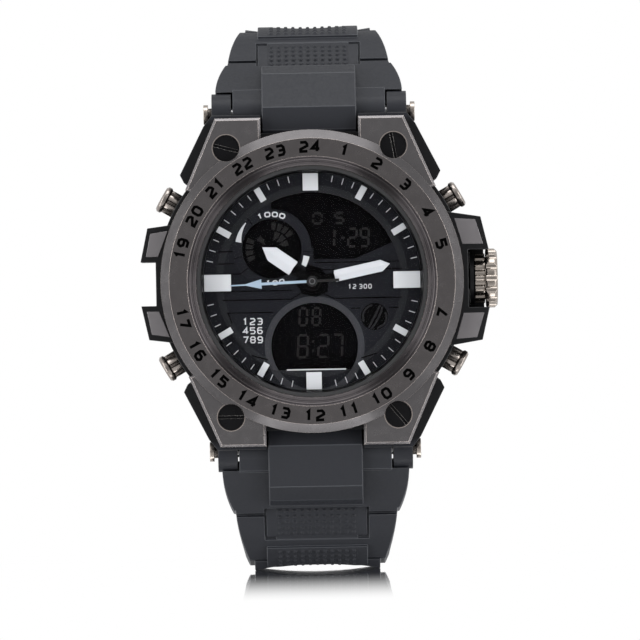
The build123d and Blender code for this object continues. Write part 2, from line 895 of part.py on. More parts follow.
boss_top = back_thick + back_boss_rise
with BuildPart() as buzzer_disc:
    with BuildSketch(facing(boss_top)):
        with Locations((buzzer_x, 0)):
            Circle(buzzer_r)
    extrude(amount=buzzer_thick)
save(buzzer_disc, "buzzer_disc")

# Case back, its gasket and screws
with BuildPart() as case_back:
    with BuildSketch(facing(0)):
        Circle(back_r)
    extrude(amount=back_thick)
    chamfer(case_back.edges().group_by(Axis.Y)[-1], length=back_edge)
    with BuildSketch(facing(back_thick)):
        Circle(cavity_r - fit)
    extrude(amount=back_boss_rise)
    with BuildSketch(facing(back_thick - back_gasket_depth)):
        Circle(cavity_r + back_gasket_width)
        Circle(cavity_r, mode=Mode.SUBTRACT)
    extrude(amount=back_gasket_depth, mode=Mode.SUBTRACT)
    with BuildSketch(facing(back_screw_sink)):
        with PolarLocations(back_screw_circle_r, back_screw_count, start_angle=back_screw_start_angle):
            Circle(back_screw_head_r + fit)
    extrude(amount=-back_screw_sink - overrun, mode=Mode.SUBTRACT)
    with BuildSketch(facing(-overrun)):
        with PolarLocations(back_screw_circle_r, back_screw_count, start_angle=back_screw_start_angle):
            Circle(back_screw_r + fit)
    extrude(amount=back_thick + 2 * overrun, mode=Mode.SUBTRACT)
save(case_back, "case_back")

with BuildPart() as case_back_gasket:
    with BuildSketch(facing(back_thick - back_gasket_depth)):
        Circle(cavity_r + back_gasket_width - seat_gap)
        Circle(cavity_r + seat_gap, mode=Mode.SUBTRACT)
    extrude(amount=back_gasket_depth)
save(case_back_gasket, "case_back_gasket")

with BuildPart() as case_back_screws:
    with BuildSketch(facing(back_screw_sink)):
        with PolarLocations(back_screw_circle_r, back_screw_count, start_angle=back_screw_start_angle):
            Circle(back_screw_head_r)
    extrude(amount=-back_screw_head_thick)
    with BuildSketch(facing(back_screw_sink)):
        with PolarLocations(back_screw_circle_r, back_screw_count, start_angle=back_screw_start_angle):
            Circle(back_screw_r)
    extrude(amount=back_thick - back_screw_sink + back_screw_depth - fit)
save(case_back_screws, "case_back_screws")

# Pipes and hands
with BuildPart() as hour_pipe:
    with BuildSketch(facing(hour_pipe_base)):
        Circle(hour_pipe_r)
        Circle(minute_pipe_r + fit, mode=Mode.SUBTRACT)
    extrude(amount=hour_rise + hand_thick - hour_pipe_base)
save(hour_pipe, "hour_pipe")

with BuildPart() as minute_pipe:
    with BuildSketch(facing(minute_pipe_base)):
        Circle(minute_pipe_r)
        Circle(arbor_r + fit, mode=Mode.SUBTRACT)
    extrude(amount=minute_rise + hand_thick - minute_pipe_base)
save(minute_pipe, "minute_pipe")

with BuildPart() as seconds_arbor:
    with BuildSketch(facing(arbor_base)):
        Circle(arbor_r)
    extrude(amount=second_rise + second_thick - arbor_base)
save(seconds_arbor, "seconds_arbor")


def hand_outline(length, width, shoulder, neck):
    """Broad pointed hand on a narrow neck, drawn upwards from the hub."""
    tip_rise = hand_tip_share * width
    with BuildSketch() as outline:
        with BuildLine():
            Polyline(
                (-neck / 2, 0),
                (-neck / 2, shoulder),
                (-width / 2, shoulder),
                (-width / 2, length - tip_rise),
                (0, length),
                (width / 2, length - tip_rise),
                (width / 2, shoulder),
                (neck / 2, shoulder),
                (neck / 2, 0),
                close=True,
            )
        make_face()
    return outline.sketch_local


with BuildPart() as hour_hand:
    with BuildSketch(clock_plane(hour_rise, hour_clock_angle)):
        add(hand_outline(hour_len, hour_width, hour_shoulder, hour_neck))
        Circle(hub_r)
        Circle(hour_pipe_r + seat_gap, mode=Mode.SUBTRACT)
    extrude(amount=hand_thick)
save(hour_hand, "hour_hand")

with BuildPart() as minute_hand:
    with BuildSketch(clock_plane(minute_rise, minute_clock_angle)):
        add(hand_outline(minute_len, minute_width, minute_shoulder, minute_neck))
        Circle(minute_hub_r)
        Circle(minute_pipe_r + seat_gap, mode=Mode.SUBTRACT)
    extrude(amount=hand_thick)
save(minute_hand, "minute_hand")

with BuildPart() as second_hand:
    with BuildSketch(clock_plane(second_rise, second_clock_angle)):
        with BuildLine():
            Polyline(
                (-second_width / 2, -second_tail),
                (-second_width / 2, arrow_base),
                (-arrow_width / 2, arrow_base),
                (-second_width / 4, arrow_tip),
                (-second_width / 4, second_len),
                (second_width / 4, second_len),
                (second_width / 4, arrow_tip),
                (arrow_width / 2, arrow_base),
                (second_width / 2, arrow_base),
                (second_width / 2, -second_tail),
                close=True,
            )
        make_face()
        Circle(hub_cap_r)
        Circle(arbor_r + seat_gap, mode=Mode.SUBTRACT)
    extrude(amount=second_thick)
    with BuildSketch(facing(second_rise + second_thick)):
        Circle(hub_cap_r)
    extrude(amount=hub_cap_rise - second_rise - second_thick)
save(second_hand, "second_hand")

# Crown, turned and fluted, with a well that covers the end of its tube
with BuildPart() as crown:
    with BuildSketch(Plane.XY):
        with BuildLine():
            Polyline(
                (crown_inner_x, -button_rise),
                (crown_inner_x, -button_rise - crown_ring_r),
                (crown_ring_end_x, -button_rise - crown_ring_r),
                (crown_ring_end_x, -button_rise - crown_neck_r),
                (crown_flange_x, -button_rise - crown_neck_r),
                (crown_flange_x, -button_rise - crown_flange_r + crown_edge / 2),
                (crown_flange_x + crown_edge / 2, -button_rise - crown_flange_r),
                (crown_outer_x - crown_edge, -button_rise - crown_flange_r),
                (crown_outer_x, -button_rise - crown_flange_r + crown_edge),
                (crown_outer_x, -button_rise),
                close=True,
            )
        make_face()
    revolve(axis=Axis((0, -button_rise, 0), (1, 0, 0)))
    with BuildSketch(stem_plane(crown_inner_x)):
        Circle(crown_well_r)
    extrude(amount=crown_well_depth, mode=Mode.SUBTRACT)
    with BuildSketch(stem_plane(crown_inner_x - overrun)):
        Circle(stem_r + seat_gap)
    extrude(amount=crown_well_depth + 2 * overrun, mode=Mode.SUBTRACT)
    with BuildSketch(stem_plane(crown_flange_x)):
        with PolarLocations(crown_flange_r + crown_flute_out, crown_flutes):
            Circle(crown_flute_r)
    extrude(amount=crown_outer_x - crown_flange_x, mode=Mode.SUBTRACT)
    with BuildSketch(stem_plane(crown_inner_x)):
        with PolarLocations(crown_ring_r + crown_flute_out, crown_flutes):
            Circle(crown_flute_r)
    extrude(amount=crown_ring_end_x - crown_inner_x, mode=Mode.SUBTRACT)
save(crown, "crown")

with BuildPart() as crown_stem:
    with BuildSketch(stem_plane(stem_inner_x)):
        Circle(stem_r)
    extrude(amount=crown_inner_x + crown_well_depth + overrun - stem_inner_x)
save(crown_stem, "crown_stem")

with BuildPart() as crown_tube:
    with BuildSketch(stem_plane(tube_inner_x)):
        Circle(tube_r)
        Circle(stem_r + fit, mode=Mode.SUBTRACT)
    extrude(amount=tube_end_x - tube_inner_x)
    with BuildSketch(stem_plane(collar_x)):
        Circle(collar_r)
        Circle(stem_r + fit, mode=Mode.SUBTRACT)
    extrude(amount=collar_thick)
save(crown_tube, "crown_tube")

with BuildPart() as crown_gasket:
    with BuildSketch(stem_plane(crown_inner_x)):
        Circle(crown_gasket_r)
        Circle(tube_r + fit, mode=Mode.SUBTRACT)
    extrude(amount=crown_gasket_len)
save(crown_gasket, "crown_gasket")

with BuildPart() as setting_pinion:
    with BuildSketch(stem_plane(pinion_x)):
        Circle(pinion_r)
        with PolarLocations(pinion_r, pinion_teeth):
            Circle(pinion_gap_r, mode=Mode.SUBTRACT)
        Circle(stem_r + fit, mode=Mode.SUBTRACT)
    extrude(amount=pinion_len)
save(setting_pinion, "setting_pinion")

# Pushers: cap, fluted barrel and stem in one, each kept in by a clip
for name, angle in pusher_places.items():
    with BuildPart() as pusher:
        with BuildSketch(button_plane(angle, pusher_outer_r - pusher_cap_thick)):
            Circle(pusher_cap_r)
        extrude(amount=pusher_cap_thick)
        chamfer(pusher.edges(), length=pusher_cap_edge)
        with BuildSketch(button_plane(angle, barrel_inner)):
            Circle(pusher_barrel_r)
            with PolarLocations(pusher_barrel_r, pusher_flutes):
                Circle(pusher_flute_r, mode=Mode.SUBTRACT)
        extrude(amount=pusher_barrel_len)
        with BuildSketch(button_plane(angle, pusher_stem_inner)):
            Circle(pusher_stem_r)
        extrude(amount=pusher_outer_r - pusher_cap_thick - pusher_stem_inner)
    save(pusher, f"pusher_{name}")

    with BuildPart() as pusher_clip:
        with BuildSketch(button_plane(angle, pusher_clip_seat)):
            Circle(pusher_clip_r)
            Circle(pusher_stem_r + seat_gap, mode=Mode.SUBTRACT)
        extrude(amount=pusher_clip_thick)
    save(pusher_clip, f"pusher_clip_{name}")

with BuildPart() as pusher_sleeves:
    for angle in pusher_places.values():
        with BuildSketch(button_plane(angle, sleeve_inner)):
            Circle(pusher_stem_r + sleeve_wall)
            Circle(pusher_stem_r + fit, mode=Mode.SUBTRACT)
        extrude(amount=pusher_pocket_floor - sleeve_end_gap - sleeve_inner)
save(pusher_sleeves, "pusher_sleeves")

with BuildPart() as pusher_springs:
    for angle in pusher_places.values():
        with BuildSketch(button_plane(angle, pusher_pocket_floor)):
            Circle(spring_r)
            Circle(spring_inner_r, mode=Mode.SUBTRACT)
        extrude(amount=pusher_spring_len)
save(pusher_springs, "pusher_springs")

# Strap bars with a slotted head screwed into each end
for outward, name in ((1, "upper"), (-1, "lower")):
    with BuildPart() as strap_bar:
        with BuildSketch(Plane.YZ):
            with Locations((-bar_rise, outward * bar_z)):
                Circle(bar_r)
        extrude(amount=bar_end_x, both=True)
    save(strap_bar, f"strap_bar_{name}")

with BuildPart() as strap_bar_screws:
    for outward in (-1, 1):
        for side in (-1, 1):
            with BuildSketch(Plane.YZ.offset(side * bar_end_x)):
                with Locations((-bar_rise, outward * bar_z)):
                    Circle(bar_r)
            extrude(amount=side * (ear_outer_x - bar_end_x))
            with BuildSketch(Plane.YZ.offset(side * ear_outer_x)):
                with Locations((-bar_rise, outward * bar_z)):
                    Circle(bar_neck_r)
            extrude(amount=side * (bar_head_x - ear_outer_x))
            with BuildSketch(Plane.YZ.offset(side * bar_head_x)):
                with Locations((-bar_rise, outward * bar_z)):
                    Circle(bar_head_r)
            extrude(amount=side * bar_head_len)
            with BuildSketch(Plane.YZ.offset(side * (bar_head_x + bar_head_len / 2))):
                with Locations((-bar_rise, outward * bar_z)):
                    Rectangle(bar_slot, 4 * bar_head_r)
            extrude(amount=side * bar_head_len, mode=Mode.SUBTRACT)
save(strap_bar_screws, "strap_bar_screws")


# Strap halves. The outer line of each is a chain of tangent arcs, and the inner line
# lies one wall inside it.
def heading_vector(heading):
    """Unit vector of a heading in degrees."""
    return Vector(cos(radians(heading)), sin(radians(heading)))


def arc_end(start, heading, radius, turn):
    """End point of a clockwise arc that starts at a point on a heading."""
    center = start + heading_vector(heading - 90) * radius
    return center + heading_vector(heading + 90 - turn) * radius


wing_end = Vector(wing_end_out, wing_end_front)
wing_center = wing_end + heading_vector(wing_heading_angle - 90) * wing_arc_r
wing_slope_start = heading_vector(bar_ledge_angle) * ear_r


def strap_arcs(lean, back_r):
    """Radii and turns of the arcs that follow the first wing."""
    return (
        (wing_arc_r, 90 + wing_heading_angle - lean),
        (crest_r, crest_turn_angle),
        (back_r, back_turn_angle),
    )


def band_points(lean, back_r):
    """Joints of the outer line, with the heading at each, after the first wing."""
    outer = [wing_end]
    headings = [wing_heading_angle]
    for radius, turn in strap_arcs(lean, back_r):
        outer.append(arc_end(outer[-1], headings[-1], radius, turn))
        headings.append(headings[-1] - turn)
    return outer, headings


def band_face(lean, back_r, straight):
    """Side outline of a strap half from the bar to its far end, in the across plane."""
    outer, headings = band_points(lean, back_r)
    inward = [heading_vector(heading - 90) * wing_wall for heading in headings]
    inner = [point + step for point, step in zip(outer, inward)]
    end = outer[-1] + heading_vector(headings[-1]) * straight
    with BuildSketch() as outline:
        with BuildLine():
            Line(wing_slope_start, wing_end)
            for index, (radius, turn) in enumerate(strap_arcs(lean, back_r)):
                JernArc(outer[index], heading_vector(headings[index]), radius, -turn)
            Line(outer[-1], end)
            Line(end, end + inward[-1])
            Line(end + inward[-1], inner[-1])
            for index in reversed(range(len(inner) - 1)):
                radius, turn = strap_arcs(lean, back_r)[index]
                back_heading = -heading_vector(headings[index + 1])
                JernArc(inner[index + 1], back_heading, radius - wing_wall, turn)
            Line(inner[0], (block_heel_out, block_heel_front))
            Line((block_heel_out, block_heel_front), (0, -ear_r))
            ThreePointArc((0, -ear_r), (-ear_r, 0), wing_slope_start)
        make_face()
    return outline.sketch_local


def wing_outline():
    """Front outline of the strap head, each wing stepping in from the one before."""
    with BuildSketch() as outline:
        with BuildLine():
            Line((0, -2 * ear_r), (strap_half, -2 * ear_r))
            Line((strap_half, -2 * ear_r), (strap_half, ear_r + swing_gap))
            belly = (strap_half + first_wing_half) / 2 + wing_belly
            ThreePointArc(
                (strap_half, ear_r + swing_gap),
                (belly, (ear_r + swing_gap + first_wing_out) / 2),
                (first_wing_half, first_wing_out),
            )
            Line((first_wing_half, first_wing_out), (second_wing_half, first_wing_out))
            belly = (second_wing_half + third_wing_half) / 2 + wing_belly
            ThreePointArc(
                (second_wing_half, first_wing_out),
                (belly, (first_wing_out + second_wing_out) / 2),
                (third_wing_half, second_wing_out),
            )
            Line((third_wing_half, second_wing_out), (last_wing_half, second_wing_out))
            Line((last_wing_half, second_wing_out), (last_wing_half, 3 * second_wing_out))
            Line((last_wing_half, 3 * second_wing_out), (0, 3 * second_wing_out))
            Line((0, 3 * second_wing_out), (0, -2 * ear_r))
        make_face()
        mirror(about=Plane.YZ)
    return outline.sketch_local


def block_face():
    """Side outline of the faceted centre block, round where it turns in the case."""
    low_front = -sqrt(block_swing_r**2 - block_lip_out**2)
    with BuildSketch() as outline:
        with BuildLine():
            Polyline(
                (block_lip_out, block_lip_front),
                (0, block_ridge_front),
                (block_knee_out, block_knee_front),
                (block_end_out, block_end_front),
                (block_tail_out, block_tail_front),
                (block_heel_out, block_heel_front),
                (block_lip_out, low_front),
            )
            ThreePointArc(
                (block_lip_out, low_front),
                (-block_swing_r, 0),
                (block_lip_out, block_lip_front),
            )
        make_face()
    return outline.sketch_local


def knuckle_face():
    """Side outline of the knuckle: round towards the case, squared away from it."""
    with BuildSketch() as outline:
        with BuildLine():
            ThreePointArc((0, -ear_r), (-ear_r, 0), (0, ear_r))
            Polyline((0, ear_r), (knuckle_out, knuckle_front), (knuckle_out, 0), (0, -ear_r))
        make_face()
    return outline.sketch_local


def sector(center, inner_r, outer_r, start, turn):
    """Curved bar about a centre, clockwise from a polar angle in degrees."""
    low = [center + heading_vector(start - share * turn) * inner_r for share in (0, 0.5, 1)]
    high = [center + heading_vector(start - share * turn) * outer_r for share in (0, 0.5, 1)]
    with BuildSketch() as outline:
        with BuildLine():
            ThreePointArc(*high)
            Line(high[2], low[2])
            ThreePointArc(*low)
            Line(low[0], high[0])
        make_face()
    return outline.sketch_local


def world(outward, lean, point):
    """Place in the watch of a point drawn in a strap half's side view."""
    return across(outward, lean).from_local_coords(Vector(point.X, point.Y, 0))


# Both halves share one head; the upper leans back and the lower leans forward
strap_kinds = {
    "upper": (1, head_lean_angle, upper_back_r, upper_straight, upper_arch_depth, upper_bed_step),
    "lower": (-1, -head_lean_angle, lower_back_r, lower_straight, lower_arch_depth, lower_bed_step),
}
strap_reach = 6 * strap_half
for name, (outward, lean, back_r, straight, arch_depth, bed_step) in strap_kinds.items():
    outer, headings = band_points(lean, back_r)
    end = outer[-1] + heading_vector(headings[-1]) * straight
    end_inward = heading_vector(headings[-1] - 90) * wing_wall
    back_center = outer[2] + heading_vector(headings[2] - 90) * back_r
    side_view = across(outward, lean)
    front_view = above(outward, lean).offset(wing_center.Y)
    core_r = wing_arc_r - wing_wall / 2
    arch_height = world(outward, lean, outer[1]).Z + outward * (arch_r - arch_depth)
    # Second bed of the texture, proud of the wings and hollowed to the same arch
    with BuildPart() as second_bed:
        with BuildSketch(side_view):
            bed_r = wing_arc_r + second_texture_proud
            start = second_texture_start_angle
            add(sector(wing_center, core_r, bed_r, start, second_texture_turn_angle))
        extrude(amount=texture_half, both=True)
        with BuildSketch(Plane.XZ):
            with Locations((0, arch_height + outward * bed_step)):
                Circle(arch_r)
        extrude(amount=strap_reach, both=True, mode=Mode.SUBTRACT)
    with BuildPart() as strap:
        with BuildSketch(side_view):
            add(band_face(lean, back_r, straight))
        extrude(amount=strap_half, both=True)
        # Wings in front of the crest, plain tapering band behind it
        with BuildSketch(front_view):
            Rectangle(2 * strap_reach, 2 * strap_reach)
            add(wing_outline(), mode=Mode.SUBTRACT)
        extrude(amount=strap_reach, mode=Mode.SUBTRACT)
        with BuildSketch(front_view):
            Rectangle(2 * strap_reach, 2 * strap_reach)
            with BuildLine():
                Polyline(
                    (-last_wing_half, second_wing_out),
                    (-last_wing_half, strap_reach / 2),
                    (last_wing_half, strap_reach / 2),
                    (last_wing_half, second_wing_out),
                    (end_half, end.X),
                    (end_half, -strap_reach / 2),
                    (-end_half, -strap_reach / 2),
                    (-end_half, end.X),
                    close=True,
                )
            make_face(mode=Mode.SUBTRACT)
        extrude(amount=-strap_reach, mode=Mode.SUBTRACT)
        # Hollow arch across the crest
        with BuildSketch(Plane.XZ):
            with Locations((0, arch_height)):
                Circle(arch_r)
        extrude(amount=strap_reach, both=True, mode=Mode.SUBTRACT)
        # Grooves between one wing and the next
        with BuildSketch(side_view):
            floor_r = wing_arc_r - wing_groove_depth
            for start in wing_groove_start_angles:
                add(sector(wing_center, floor_r, wing_arc_r + overrun, start, wing_groove_turn_angle))
        extrude(amount=strap_half, both=True, mode=Mode.SUBTRACT)
        # Trough round the first bed of the texture, open as slots at the bed's far corners
        trough_turn = texture_turn_angle + texture_slot_angle
        with BuildSketch(side_view):
            floor_r = wing_arc_r - trough_depth
            add(sector(wing_center, floor_r, wing_arc_r + overrun, texture_start_angle, trough_turn))
        extrude(amount=trough_half, both=True, mode=Mode.SUBTRACT)
        bed_r = wing_arc_r - texture_sink
        with BuildSketch(side_view):
            add(sector(wing_center, core_r, bed_r, texture_start_angle, texture_turn_angle))
        extrude(amount=texture_half, both=True)
        with BuildSketch(side_view):
            add(sector(wing_center, core_r, bed_r, texture_start_angle, trough_turn))
        extrude(amount=texture_strip_half, both=True)
        add(second_bed.part)
        # Knuckle between the block and the ears, squared at the front
        with BuildSketch(side_view):
            add(knuckle_face())
        extrude(amount=knuckle_half, both=True)
        # Faceted block that turns in the notch of the case
        with BuildSketch(side_view):
            add(block_face())
        extrude(amount=block_half, both=True)
        # Room for the ears, and the hole for the bar
        for side in (-1, 1):
            with BuildSketch(Plane.YZ.offset(side * knuckle_half)):
                with Locations((-bar_rise, outward * bar_z)):
                    Circle(ear_r + swing_gap)
            extrude(amount=side * strap_half, mode=Mode.SUBTRACT)
        with BuildSketch(side_view):
            Circle(bar_r + fit)
        extrude(amount=strap_half, both=True, mode=Mode.SUBTRACT)
        if outward > 0:
            # Knuckle for the buckle bar, slotted for the tongue
            with BuildSketch(side_view):
                with Locations(end + end_inward / 2):
                    Circle(buckle_knuckle_r)
            extrude(amount=end_half, both=True)
            with BuildSketch(side_view):
                with Locations(end + end_inward / 2):
                    Circle(buckle_bar_r + seat_gap)
            extrude(amount=strap_half, both=True, mode=Mode.SUBTRACT)
            buckle_bar_place = world(outward, lean, end + end_inward / 2)
            with BuildSketch(Plane(origin=buckle_bar_place, x_dir=(1, 0, 0), z_dir=(0, -1, 0))):
                Rectangle(2 * tongue_slot_half, 2 * (tongue_thick + buckle_knuckle_r))
            extrude(amount=2 * wing_wall, both=True, mode=Mode.SUBTRACT)
            keeper_center = back_center
            keeper_end_heading = headings[-1]
        else:
            # Row of holes, and the rounded tip of the tail
            for index in range(hole_count):
                along = hole_first + index * hole_pitch
                if along < straight:
                    heading = headings[-1]
                    spot = end - heading_vector(heading) * along
                else:
                    heading = headings[-1] + (along - straight) / radians(1) / back_r
                    spot = back_center + heading_vector(heading + 90) * back_r
                outside = world(outward, lean, spot)
                inside = world(outward, lean, spot + heading_vector(heading - 90) * wing_wall)
                with BuildSketch(Plane(origin=outside, z_dir=outside - inside)):
                    Circle(hole_r)
                extrude(amount=2 * wing_wall, both=True, mode=Mode.SUBTRACT)
            middle = world(outward, lean, end + end_inward / 2)
            corners = [
                strap.edges().sort_by_distance(middle + Vector(side * end_half, 0, 0))[0]
                for side in (-1, 1)
            ]
            fillet(corners, radius=tail_round)
    save(strap, f"strap_{name}")

# Buckle on its bar at the end of the upper half, hanging straight down
with BuildPart() as buckle_bar:
    with BuildSketch(Plane.YZ):
        with Locations((buckle_bar_place.Y, buckle_bar_place.Z)):
            Circle(buckle_bar_r)
    extrude(amount=buckle_half - buckle_arm / 4, both=True)
save(buckle_bar, "buckle_bar")

buckle_plane = Plane(origin=buckle_bar_place, x_dir=(-1, 0, 0), z_dir=(0, 1, 0))
with BuildPart() as buckle_frame:
    with BuildSketch(buckle_plane):
        with Locations((0, (buckle_eye_reach - buckle_len) / 2)):
            Rectangle(2 * buckle_half, buckle_eye_reach + buckle_len)
    extrude(amount=buckle_wall / 2, both=True)
    bottom = buckle_frame.edges().filter_by(Axis.Y).group_by(Axis.Z)[0]
    fillet(bottom, radius=buckle_round)
    window = buckle_len - buckle_end_width + 2 * buckle_eye_reach
    with BuildSketch(buckle_plane):
        with Locations((0, window / 2 - buckle_len + buckle_end_width)):
            Rectangle(2 * (buckle_half - buckle_arm), window)
    extrude(amount=buckle_wall, both=True, mode=Mode.SUBTRACT)
    with BuildSketch(Plane.YZ):
        with Locations((buckle_bar_place.Y, buckle_bar_place.Z)):
            Circle(buckle_bar_r + fit)
    extrude(amount=buckle_half + overrun, both=True, mode=Mode.SUBTRACT)
save(buckle_frame, "buckle_frame")

with BuildPart() as buckle_tongue:
    bar_y = buckle_bar_place.Y
    bar_height = buckle_bar_place.Z
    front_y = bar_y + buckle_wall / 2 + fit
    with BuildSketch(Plane.YZ):
        with BuildLine():
            Polyline(
                (bar_y, bar_height + tongue_eye_r),
                (front_y + tongue_thick, bar_height),
                (front_y + tongue_thick, bar_height - tongue_len),
                (front_y, bar_height - tongue_len),
                (front_y, bar_height - tongue_eye_r / 2),
                (bar_y, bar_height - tongue_eye_r),
                close=True,
            )
        make_face()
        with Locations((bar_y, bar_height)):
            Circle(tongue_eye_r)
            Circle(buckle_bar_r + fit, mode=Mode.SUBTRACT)
    extrude(amount=tongue_half, both=True)
save(buckle_tongue, "buckle_tongue")

# Keepers: closed loops round the upper half, with room for the tail outside it
for name, turn, play in (
    ("keeper_fixed", fixed_keeper_turn_angle, keeper_play),
    ("keeper_loose", loose_keeper_turn_angle, loose_keeper_play),
):
    heading = keeper_end_heading + turn
    spot = keeper_center + heading_vector(heading + 90) * (upper_back_r - wing_wall / 2)
    here = world(1, head_lean_angle, spot)
    ahead = world(1, head_lean_angle, spot + heading_vector(heading))
    inner_side = wing_wall / 2 + play
    outer_side = wing_wall / 2 + keeper_tail_room
    with BuildPart() as keeper:
        with BuildSketch(Plane(origin=here, x_dir=(1, 0, 0), z_dir=ahead - here)):
            with Locations((0, (inner_side - outer_side) / 2)):
                RectangleRounded(
                    2 * (last_wing_half + play + keeper_wall),
                    inner_side + outer_side + 2 * keeper_wall,
                    keeper_wall,
                )
                Rectangle(2 * (last_wing_half + play), inner_side + outer_side, mode=Mode.SUBTRACT)
        extrude(amount=keeper_len / 2, both=True)
    save(keeper, name)

print("buckle bar at", buckle_bar_place)
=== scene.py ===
import bpy
import numpy as np
from math import radians, pi
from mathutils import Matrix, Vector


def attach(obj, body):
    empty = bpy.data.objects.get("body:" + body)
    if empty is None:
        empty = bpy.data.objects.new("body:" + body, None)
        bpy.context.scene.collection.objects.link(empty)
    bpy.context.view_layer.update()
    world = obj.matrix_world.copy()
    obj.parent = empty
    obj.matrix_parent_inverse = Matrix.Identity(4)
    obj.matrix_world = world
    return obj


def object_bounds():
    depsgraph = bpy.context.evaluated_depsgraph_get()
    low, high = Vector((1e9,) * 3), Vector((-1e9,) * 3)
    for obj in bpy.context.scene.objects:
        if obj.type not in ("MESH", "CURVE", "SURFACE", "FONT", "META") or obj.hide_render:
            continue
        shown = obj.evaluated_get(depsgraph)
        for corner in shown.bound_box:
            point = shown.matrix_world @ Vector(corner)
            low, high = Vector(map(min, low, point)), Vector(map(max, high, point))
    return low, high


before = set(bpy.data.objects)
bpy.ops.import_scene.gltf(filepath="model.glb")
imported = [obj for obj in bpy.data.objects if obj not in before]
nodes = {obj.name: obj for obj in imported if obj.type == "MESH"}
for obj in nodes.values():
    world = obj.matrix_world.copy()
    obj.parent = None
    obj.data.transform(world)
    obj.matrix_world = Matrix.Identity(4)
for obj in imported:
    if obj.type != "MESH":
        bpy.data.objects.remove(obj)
size_loaded = [list(corner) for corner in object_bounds()]
mm = 0.001


# Case body: a black resin moulding with fine grain, seen between the bezel's plates
# and at the sides, where the guards stand out round the crown and the pushers. Its
# ears at the strap bars are as grey as the strap.
def new_material(name, color, roughness, metallic=0.0, specular=0.5):
    """A principled material whose constants are set on the shader's own sockets."""
    material = bpy.data.materials.new(name)
    material.use_nodes = True
    shader = material.node_tree.nodes["Principled BSDF"]
    shader.inputs["Base Color"].default_value = (*color, 1.0)
    shader.inputs["Roughness"].default_value = roughness
    shader.inputs["Metallic"].default_value = metallic
    shader.inputs["Specular IOR Level"].default_value = specular
    return material, material.node_tree, shader


def feed(tree, socket, value):
    """Gives a socket its value: a node's output, a colour or a plain number."""
    if isinstance(value, bpy.types.NodeSocket):
        tree.links.new(value, socket)
    elif isinstance(value, tuple):
        socket.default_value = (*value, 1.0)
    else:
        socket.default_value = value


def math_node(tree, operation, *values):
    """The result of one math node fed by outputs or plain numbers."""
    node = tree.nodes.new("ShaderNodeMath")
    node.operation = operation
    for socket, value in zip(node.inputs, values):
        feed(tree, socket, value)
    return node.outputs[0]


def map_range(tree, value, start, end, low=0.0, high=1.0, soft=False):
    """Carries a value from start..end over to low..high, with soft ends if asked."""
    node = tree.nodes.new("ShaderNodeMapRange")
    if soft:
        node.interpolation_type = "SMOOTHSTEP"
    feed(tree, node.inputs["Value"], value)
    feed(tree, node.inputs["From Min"], start)
    feed(tree, node.inputs["From Max"], end)
    feed(tree, node.inputs["To Min"], low)
    feed(tree, node.inputs["To Max"], high)
    return node.outputs["Result"]


def color_mix(tree, share, first, second):
    """A mix of two colours by a share; sockets 6 and 7 are a colour mix's A and B."""
    node = tree.nodes.new("ShaderNodeMix")
    node.data_type = "RGBA"
    feed(tree, node.inputs[0], share)
    feed(tree, node.inputs[6], first)
    feed(tree, node.inputs[7], second)
    return node.outputs[2]


def object_axis(tree, axis):
    """One part of the object coordinates, along the named axis."""
    coords = tree.nodes.new("ShaderNodeTexCoord")
    split = tree.nodes.new("ShaderNodeSeparateXYZ")
    feed(tree, split.inputs[0], coords.outputs["Object"])
    return split.outputs[axis]


def grain(tree, shader, scale, strength, relief, roughness=None, stretch=(1.0, 1.0, 1.0)):
    """Fine noise in object coordinates, wired to the bump and, if given, the roughness.

    The roughness runs from its first value to its second while the noise runs through
    the middle of its range, where most of it lies.
    """
    noise_from, noise_to = 0.3, 0.7
    coords = tree.nodes.new("ShaderNodeTexCoord")
    place = tree.nodes.new("ShaderNodeMapping")
    place.inputs["Scale"].default_value = stretch
    noise = tree.nodes.new("ShaderNodeTexNoise")
    noise.inputs["Scale"].default_value = scale
    noise.inputs["Detail"].default_value = 4.0
    bump = tree.nodes.new("ShaderNodeBump")
    bump.inputs["Strength"].default_value = strength
    bump.inputs["Distance"].default_value = relief
    feed(tree, place.inputs["Vector"], coords.outputs["Object"])
    feed(tree, noise.inputs["Vector"], place.outputs["Vector"])
    feed(tree, bump.inputs["Height"], noise.outputs["Fac"])
    feed(tree, shader.inputs["Normal"], bump.outputs["Normal"])
    if roughness:
        spread = map_range(tree, noise.outputs["Fac"], noise_from, noise_to, *roughness)
        feed(tree, shader.inputs["Roughness"], spread)


def shade_smooth(mesh):
    """Marks every face of a mesh as smooth."""
    mesh.polygons.foreach_set("use_smooth", np.ones(len(mesh.polygons), dtype=bool))


def soften(obj, width, angle):
    """Closes the mesh, merges flat facets, rounds sharp edges and keeps flats flat."""
    weld_gap = 0.0005 * mm
    flat_angle = 1.0
    close = obj.modifiers.new("close", "WELD")
    close.merge_threshold = weld_gap
    flat = obj.modifiers.new("merge", "DECIMATE")
    flat.decimate_type = "DISSOLVE"
    flat.angle_limit = radians(flat_angle)
    edge = obj.modifiers.new("edges", "BEVEL")
    edge.width = width
    edge.segments = 2
    edge.limit_method = "ANGLE"
    edge.angle_limit = radians(angle)
    edge.miter_outer = "MITER_ARC"
    shade = obj.modifiers.new("shade", "WEIGHTED_NORMAL")
    shade.keep_sharp = True


def finish_node(name, material, width=None, angle=25.0, edge_material=None):
    """Gives a CAD node its material and, if a width is given, rounded edges.

    Edges that turn by more than the angle are rounded, in the edge material where
    there is one; that material is lighter and paints a highlight along the edges.
    """
    obj = nodes[name]
    obj.data.materials.clear()
    obj.data.materials.append(material)
    shade_smooth(obj.data)
    if width:
        soften(obj, width, angle)
    if edge_material:
        obj.data.materials.append(edge_material)
        obj.modifiers["edges"].material = 1
    return obj


